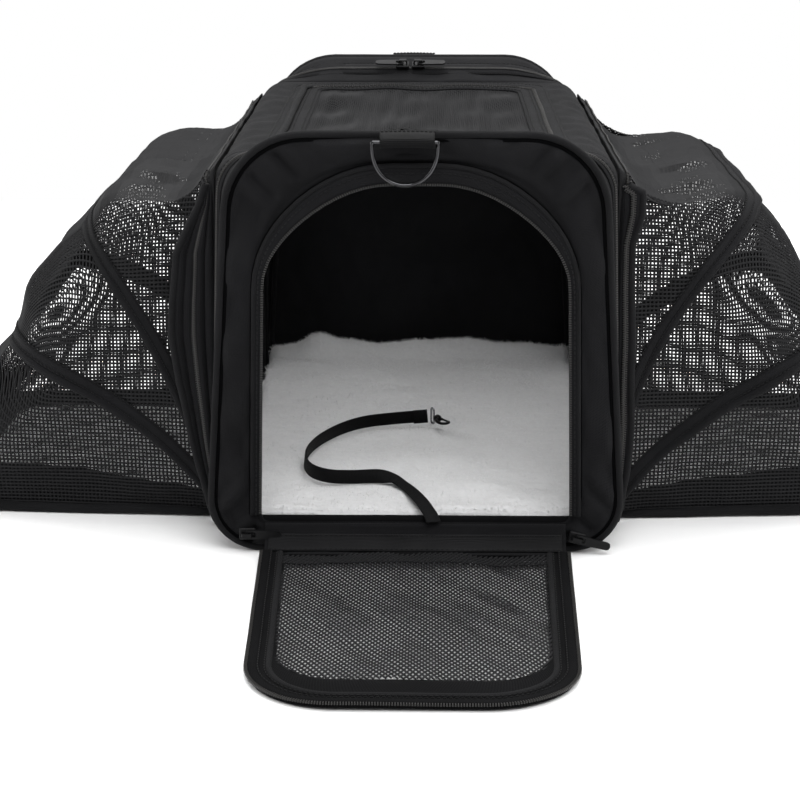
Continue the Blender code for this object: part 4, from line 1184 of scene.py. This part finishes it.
def make_door_hinge():
    """Fabric hinge, from the foot of the opening down to the flap, with a sewn ribbon along it."""
    def strip(name, route, half, thick, finish, slot, seed):
        rows = 12
        grid = extruded(np.linspace(-half, half, 110), resample(smooth_line(route, 6), rows))
        weight = np.sin(np.linspace(0, math.pi, rows))[:, None]
        grid[..., 2] += ripple(grid, seed, 0.05, 0.0006) * weight
        grid[..., 1] += ripple(grid, seed + 1, 0.03, 0.0005) * weight
        made = panel(name, grid, thick, finish, None, slot)
        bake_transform(made)
        return grid

    route = [(-0.2292, 0.0205), (-0.2308, 0.0150), (-0.2335, 0.0095), (-0.2368, 0.0062),
             (-0.2410, 0.0040), (-0.2450, 0.0036)]
    strip("door_hinge_band", route, 0.1015, 0.0012, BLACK, "black_fabric", 64)
    route = [(-0.2325, 0.0140), (-0.2350, 0.0100), (-0.2385, 0.0070), (-0.2425, 0.0056)]
    grid = strip("door_hinge_ribbon", route, 0.0990, 0.0010, RIBBON, "zip_tape", 66)
    rows = [stitches(grid[row], unit((0, -0.6, 0.8)), lift=0.0007) for row in (1, 10)]
    made = seam("door_hinge_stitches", rows, None)
    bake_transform(made)


# ---------------------------------------------------------------- wings
PER_SPAN = 8
SECTORS = (("inner", "seam", "hoop_1", 0.0011), ("middle", "hoop_1", "hoop_2", 0.0016),
           ("outer", "hoop_2", "ground", 0.0018))


def mirrored(half):
    """The first half of a wing's line, as (y, across) pairs, with its second half."""
    return half + [(-y, across) for y, across in reversed(half)]


def corner(half, straight, radius):
    """Quarter turn from a line's leg into its bar."""
    angles = [math.pi / 2 * step / 5 for step in range(6)]
    return [(-half + radius * (1 - math.cos(angle)), straight + radius * math.sin(angle)) for angle in angles]


def hoop_path(side, hoop):
    """Centre line of a hoop: pivot, bowed leg, corner, top bar, corner, bowed leg, pivot."""
    sign = SIDES[side]
    top_x, top_z, half, radius = HOOPS[side][hoop]
    foot = np.array((sign * PIVOT[0], 0, PIVOT[1]))
    rise = np.array((sign * top_x, 0, top_z)) - foot
    length = np.linalg.norm(rise)
    up = rise / length
    to_body = np.array((-sign * up[2], 0, abs(up[0])))
    straight = length - radius
    leg = [(-half, straight * step / 5) for step in range(5)]
    flat = mirrored(leg + corner(half, straight, radius) + [(-half / 3, length)])
    bow = to_body * 4 * BOWS[side][hoop]
    return np.array([foot + up * height + bow * (height / length * (1 - height / length)) + (0, y, 0)
                     for y, height in flat])


def body_path(side):
    """Seam of the wing's net on the body: up, along the top edge and down."""
    x, half, low, top = SIDES[side] * 0.1402, SIDE_HALF, 0.030, SIDE_TOP
    rise = [(-half, low + (top - low) * step / 8) for step in range(9)]
    flat = mirrored(rise + [(-half + 0.02, top), (-half + 0.06, top), (-half / 3, top)])
    return np.array([(x, y, z) for y, z in flat])


def ground_path(side):
    """Seam of the wing's net on its floor panel."""
    inner, outer, z = 0.150, FLOOR_OUTER - 0.004, FLOOR_TOP + 0.0015
    half_inner, half_outer, radius = 0.157, 0.142, 0.048
    straight = outer - radius
    leg = [(-half_inner + (half_inner - half_outer) * step / 5, inner + (straight - inner) * step / 5)
           for step in range(5)]
    flat = mirrored(leg + corner(half_outer, straight, radius) + [(-half_outer / 3, outer)])
    return np.array([(SIDES[side] * x, y, z) for y, x in flat])


def depth_down(grid):
    """Distance down each column of a grid, at each of its rows."""
    steps = np.linalg.norm(np.diff(grid, axis=0), axis=2)
    return np.concatenate([np.zeros((1, grid.shape[1])), np.cumsum(steps, axis=0)], 0)


def sector_fields(grid, near):
    """Flat coordinates of a wing's net: square to the floor on the ends, square to the hoops on the roof."""
    columns = grid.shape[1]
    spans = (columns - 1) // PER_SPAN
    place = np.linspace(0, spans, columns)
    place = np.minimum(place, spans - place)
    roof = eased(np.clip((place - 5.0) / 5.0, 0, 1))
    run = depth_down(grid.swapaxes(0, 1)).T
    run = np.minimum(run, run[:, -1:] - run)
    bend = np.argmin(np.abs(place[:columns // 2] - 7.5))
    offset = (grid[:, bend, 2] - run[:, bend]).mean()
    base = np.abs(near[columns // 2, 0])
    u = (1 - roof) * np.abs(grid[..., 0]) + roof * (depth_down(grid) + base)
    v = (1 - roof) * grid[..., 2] + roof * (run + offset)
    return u, v


def part_way(grid, depth, target):
    """One point in each column of a grid, at that column's own distance down it."""
    columns = range(grid.shape[1])
    return np.stack([[np.interp(target[c], depth[:, c], grid[:, c, k]) for c in columns]
                     for k in range(3)], -1)


def halfway(line):
    """The middle point of a wing's line, on its roof."""
    return tuple(line[len(line) // 2])


def make_wing(side):
    """One side wing: three sectors of net with their hoops, the gathered skirt, floor, side zip and fin."""
    sign = SIDES[side]
    paths = {"seam": body_path(side), "hoop_1": hoop_path(side, "hoop_1"),
             "hoop_2": hoop_path(side, "hoop_2"), "ground": ground_path(side)}
    paths = {name: smooth_line(path, PER_SPAN) for name, path in paths.items()}
    inside = np.array((sign * 0.20, 0.0, 0.05))
    seed = 70 if side == "left" else 80
    surfaces = {}
    for number, (name, first, second, crumple) in enumerate(SECTORS):
        near, far = paths[first], paths[second]
        rows = 17
        share = np.linspace(0, 1, rows)[:, None]
        grid = spread(near, far, rows)
        normals = grid_normals(grid)
        normals = normals * np.sign(((grid - inside) * normals).sum(-1).mean())
        width = np.linalg.norm(far - near, axis=1)[None]
        belly = np.sin(share * math.pi) * np.clip(width / 0.08, 0, 1)
        place = np.arange(grid.shape[1]) / PER_SPAN
        roof = eased(np.clip((np.minimum(place, place[-1] - place) - 4.0) / 4.0, 0, 1)[None])
        swell, skew = SWELL[side][number]
        domed = (swell * np.sin(share * math.pi) - skew * np.sin(share * 2 * math.pi)) * roof
        depth = ripple(grid, seed + number, 0.055, crumple)
        depth = depth + ripple(grid, seed + number + 5, 0.02, crumple * 0.3)
        grid = grid + normals * (depth * belly + domed)[..., None]
        surfaces[second] = (grid, normals)
        fields = sector_fields(grid, near)
        between = np.broadcast_to(share, fields[0].shape)
        net, shares = netting(f"{side}_net_{name}", grid, fields, WING_NET, normals, None,
                              f"{side}_mesh_{name}", extra=between)
        share_out(net)
    for number, hoop in enumerate(("hoop_1", "hoop_2")):
        make_hoop_cover(f"{side}_{hoop}", paths[hoop], *surfaces[hoop], (seed + 20 + number, seed + 22))
    make_skirt(side, *surfaces["ground"], halfway(paths["hoop_2"]), halfway(paths["ground"]))
    make_wing_floor(side, sign)
    make_side_zip(side, sign, paths["seam"])
    make_fin(side, sign)


def make_hoop_cover(hoop, path, grid, normals, seeds):
    """The sleeve of a hoop's wire, and the tape sewn over it on the net."""
    waved = path + ripple(path, seeds[0], 0.06, 0.0010)[:, None] * (0, 0, 1)
    sleeve = tube(f"{hoop}_sleeve", waved, 0.0031 * (1 + ripple(path, seeds[1], 0.02, 0.05)), BLACK, 10)
    fit(sleeve, hoop)
    back = grid[::-1]
    depth = depth_down(back)
    rows = []
    for step, lift in zip(np.linspace(0.0005, 0.0105, 5), (0.0010, 0.0016, 0.0016, 0.0014, 0.0008)):
        rows.append(part_way(back, depth, np.minimum(step, depth[-1] * 0.9)) + normals[-1] * lift)
    panel(f"{hoop}_tape", np.stack(rows), 0.0010, BLACK, hoop, "webbing", f"{hoop}_binding")
    seam(f"{hoop}_stitches", [stitches(rows[row], normals[-1], lift=0.0009) for row in (1, 4)], hoop)


def make_skirt(side, grid, normals, near, far):
    """Fabric gathered inside the foot of the outermost net, in front, higher towards its outer corner."""
    front = slice(0, 10 * PER_SPAN)
    back, inward = grid[::-1, front], -normals[-1, front]
    depth = depth_down(back)
    tall = 0.027 + 0.018 * np.clip((np.abs(back[0, :, 0]) - 0.16) / 0.15, 0, 1)
    rows, shares = [], []
    for step in np.linspace(0.02, 1.0, 9):
        target = np.minimum(step * tall, depth[-1] * 0.85 * step)
        rows.append(part_way(back, depth, target) + inward * (0.0022 + 0.0012 * math.sin(step * math.pi)))
        shares.append(1 - target / depth[-1])
    skirt = panel(f"{side}_gathered_skirt", np.stack(rows), 0.0010, BLACK, None, "black_fabric")
    share_out(skirt)


def floor_outline(sign, inset):
    inner, half_in, half_out = 0.142 + inset, 0.160 - inset, 0.145 - inset
    outer = FLOOR_OUTER - inset
    corners = [(inner, -half_in), (outer, -half_out), (outer, half_out), (inner, half_in)]
    return rounded(corners, [0.004, 0.050 - inset, 0.050 - inset, 0.004], 10) * (sign, 1)


def make_wing_floor(side, sign):
    """The wing's floor panel, with its binding and the net over its window."""
    body, laid = f"{side}_floor", {"held": "laid", "rests_on": ["studio_floor"]}
    near, far, half = WINDOW
    centre = np.array((sign * (near + far) / 2, 0.0))
    window = rounded([(near, -half), (far, -half), (far, half), (near, half)], [0.025] * 4, 10) * (sign, 1)
    rows = 12
    plane = ring_between(window, floor_outline(sign, 0.0030), rows, centre)
    quilt = ripple(plane, 91, 0.012, 0.00035) + ripple(plane, 92, 0.06, 0.0006)
    z = 0.0026 + (0.0010 + quilt) * np.sin(np.linspace(0, math.pi, rows))[:, None] ** 0.5
    grid = np.concatenate([plane, z[..., None]], -1)
    panel(f"{side}_floor_panel", grid, 0.0028, BLACK, body, "black_fabric", f"{side}_floor_border",
          closed=True, **laid)
    edge = resample(floor_outline(sign, 0.0034), 300, closed=True)
    line = np.column_stack([edge, 0.0040 + ripple(edge, 93, 0.08, 0.0004)])
    fit(tube(f"{side}_floor_binding", line, 0.0034, TRIM, 10, closed=True), body)

    # the net runs over the whole panel, and only its window lets light through
    u, v = np.meshgrid(np.linspace(0.150, FLOOR_OUTER - 0.008, 60) * sign, np.linspace(-0.152, 0.152, 76))
    flat = np.stack([u, v], -1)
    inside = np.clip((half - np.abs(v)) / 0.010 + 0.5, 0, 1) * np.clip(
        (np.minimum(np.abs(u) - near, far - np.abs(u))) / 0.010 + 0.5, 0, 1)
    over = 0.0052 + ripple(flat, 91, 0.03, 0.0005) - 0.0028 * inside + ripple(flat, 94, 0.04, 0.0006) * inside
    net = np.stack([u, v, over], -1)
    keep = within(floor_outline(sign, 0.0070), centre, DEGREES)
    netting(f"{side}_floor_net", net, [u, v], FLOOR_NET, np.broadcast_to(UP, net.shape), body,
            f"{side}_floor_mesh", keep=keep, thin=True, **laid)
    hem = resample(window, 260, closed=True)
    hem = np.column_stack([hem, np.full(len(hem), 0.0044)])
    seam(f"{side}_floor_stitches", [stitches(hem, UP, lift=-0.0002, closed=True)], body)


def make_side_zip(side, sign, path):
    """Zip tape with its teeth and the bound edge of the net, round the open side."""
    outward = np.array((sign, 0.0, 0.0))
    y, z = path[:, 1], path[:, 2]
    rows = []
    for half, top, x in ((0.1925, 0.2565, 0.1338), (0.1890, 0.2530, 0.1368), (0.1862, 0.2505, 0.1388),
                         (0.1835, 0.2480, 0.1392), (0.1805, 0.2450, 0.1386), (0.1780, 0.2430, 0.1370)):
        high = np.where(z < 0.032, 0.006, np.minimum(z * top / SIDE_TOP, top))
        flat = np.stack([y * half / SIDE_HALF, high], -1)
        rows.append(np.column_stack([sign * (x + ripple(flat, 95, 0.05, 0.0004)), flat]))
    panel(f"{side}_side_tape", np.stack(rows), 0.0010, RIBBON, "root", "zip_tape", f"{side}_side_zip_tape")
    chain(f"{side}_side_zip_teeth", teeth(rows[2], outward, lift=0.0010), "root")
    fit(tube(f"{side}_side_piping", path + outward * 0.0016, 0.0028, TRIM, 10), "root")
    seam(f"{side}_side_stitches", [stitches(rows[row], outward, lift=0.0008) for row in (1, 4)], "root")


def make_fin(side, sign):
    """Fabric bunched in upright ridges beside the front corner, with a bound edge and a run of zip."""
    ridges, zip_column = {"left": (4.0, 24), "right": (2.0, 30)}[side]
    base, columns = 0.1355, 49
    edge = np.array([(0.1380, 0.008), *FIN_EDGE[side], (0.1390, 0.2470)])
    z = np.linspace(0.010, 0.245, 130)
    far = np.interp(z, edge[:, 1], edge[:, 0])
    share = np.linspace(0, 1, columns)
    x = base + (far[:, None] - base) * share
    height = 0.0022 * np.abs(np.sin(share * math.pi * ridges)) ** 0.8
    place = np.stack([x * 3, np.repeat(z[:, None], columns, 1)], -1)
    y = -0.1902 - height + ripple(place, 96, 0.08, 0.0006)
    x = x + ripple(place[..., 1:], 97, 0.09, 0.0008) * share
    grid = np.stack([sign * x, y, place[..., 1]], -1)
    panel(f"{side}_bunched_fabric", grid, 0.0010, BLACK, "root", "zip_tape")
    bound = tube(f"{side}_bunched_edge", grid[:, -1] + (0, -0.0006, 0), 0.0023, TRIM, 10, up=FORWARD)
    fit(bound, "root")
    row = teeth(grid[:, zip_column] + (0, -0.0012, 0), FORWARD, lift=0.0004)
    chain(f"{side}_bunched_zip", row, "root")


# ---------------------------------------------------------------- rings and tabs
RING_X, RING_Z, RING_AHEAD = -0.0070, 0.2805, 0.0140
RING_HALF, RING_DROP, RING_R = 0.0211, 0.0274, 0.0013
TAB_X, TAB_WIDTH, TAB_EYE = -0.0055, 0.035, 0.0031


def make_ring(end, sign):
    """A D-ring hanging in its folded webbing tab."""
    out = END_Y + RING_AHEAD
    arc = np.linspace(0, math.pi, 40)
    bow = np.stack([RING_HALF * np.cos(arc), -RING_DROP * np.sin(arc) ** 0.8], -1)
    bar = [(-RING_HALF * 0.5, 0), (0, 0), (RING_HALF * 0.5, 0)]
    outline = resample(np.vstack([bow, bar]), 96, closed=True)
    line = stand(outline + (RING_X, RING_Z), sign * out)
    ring = tube(f"{end}_dee", line, RING_R, NICKEL, 12, closed=True, up=(0, 1, 0))
    fit(ring, f"{end}_ring", f"{end}_d_ring")

    angles = [math.radians(52 - 232 * step / 6) for step in range(7)]
    profile = [(END_Y - 0.0004, 0.2846), (END_Y + 0.0060, 0.2852), (END_Y + 0.0120, 0.2848)]
    profile += [(out + TAB_EYE * math.cos(angle), RING_Z + TAB_EYE * math.sin(angle)) for angle in angles]
    profile += [(out - TAB_EYE - 0.0003, RING_Z + 0.0022)]
    x = np.linspace(-TAB_WIDTH / 2, TAB_WIDTH / 2, 24)
    grid = extruded(TAB_X + x, resample(smooth_line(profile, 4), 44) * (sign, 1))
    grid[..., 2] += 0.0004 * np.cos(x / TAB_WIDTH * math.pi)
    panel(f"{end}_webbing_tab", grid, 0.0013, STRAP, "root", "webbing", f"{end}_ring_tab", held="folded")
    normals = grid_normals(grid)
    normals = normals * np.sign(normals[8, 12, 2])
    seam(f"{end}_tab_stitches", [stitches(grid[row], normals[row], lift=0.0010, pitch=0.0028, length=0.0019)
                                 for row in (5, 9)], "root")


# ---------------------------------------------------------------- what stays as it was made in the frame
def dress_frame():
    """Materials and softened edges for the parts that show as they are."""
    dressed = {"base_board": BOARD, "bottom_panel": BLACK}
    for name in NODES:
        if name.endswith("_wire"):
            dressed[name] = SPRING
        elif "slider" in name or "pull" in name:
            dressed[name] = GUN
    for name, finish in dressed.items():
        data = NODES[name].data
        data.materials.clear()
        data.materials.append(finish)
        if finish is GUN:
            edge = NODES[name].modifiers.new("soft_edges", "BEVEL")
            edge.width = 0.00035
            edge.segments = 2
            edge.limit_method = "ANGLE"


camera_and_light()
floor_sheet()
make_tether()
for bag_end, end_sign in ENDS:
    make_end(bag_end, end_sign)
    make_gusset(bag_end, end_sign)
make_door_opening()
make_lip()
make_top()
make_fleece()
make_flap()
make_door_hinge()
for wing_side in SIDES:
    make_wing(wing_side)
for bag_end, end_sign in ENDS:
    make_ring(bag_end, end_sign)
dress_frame()
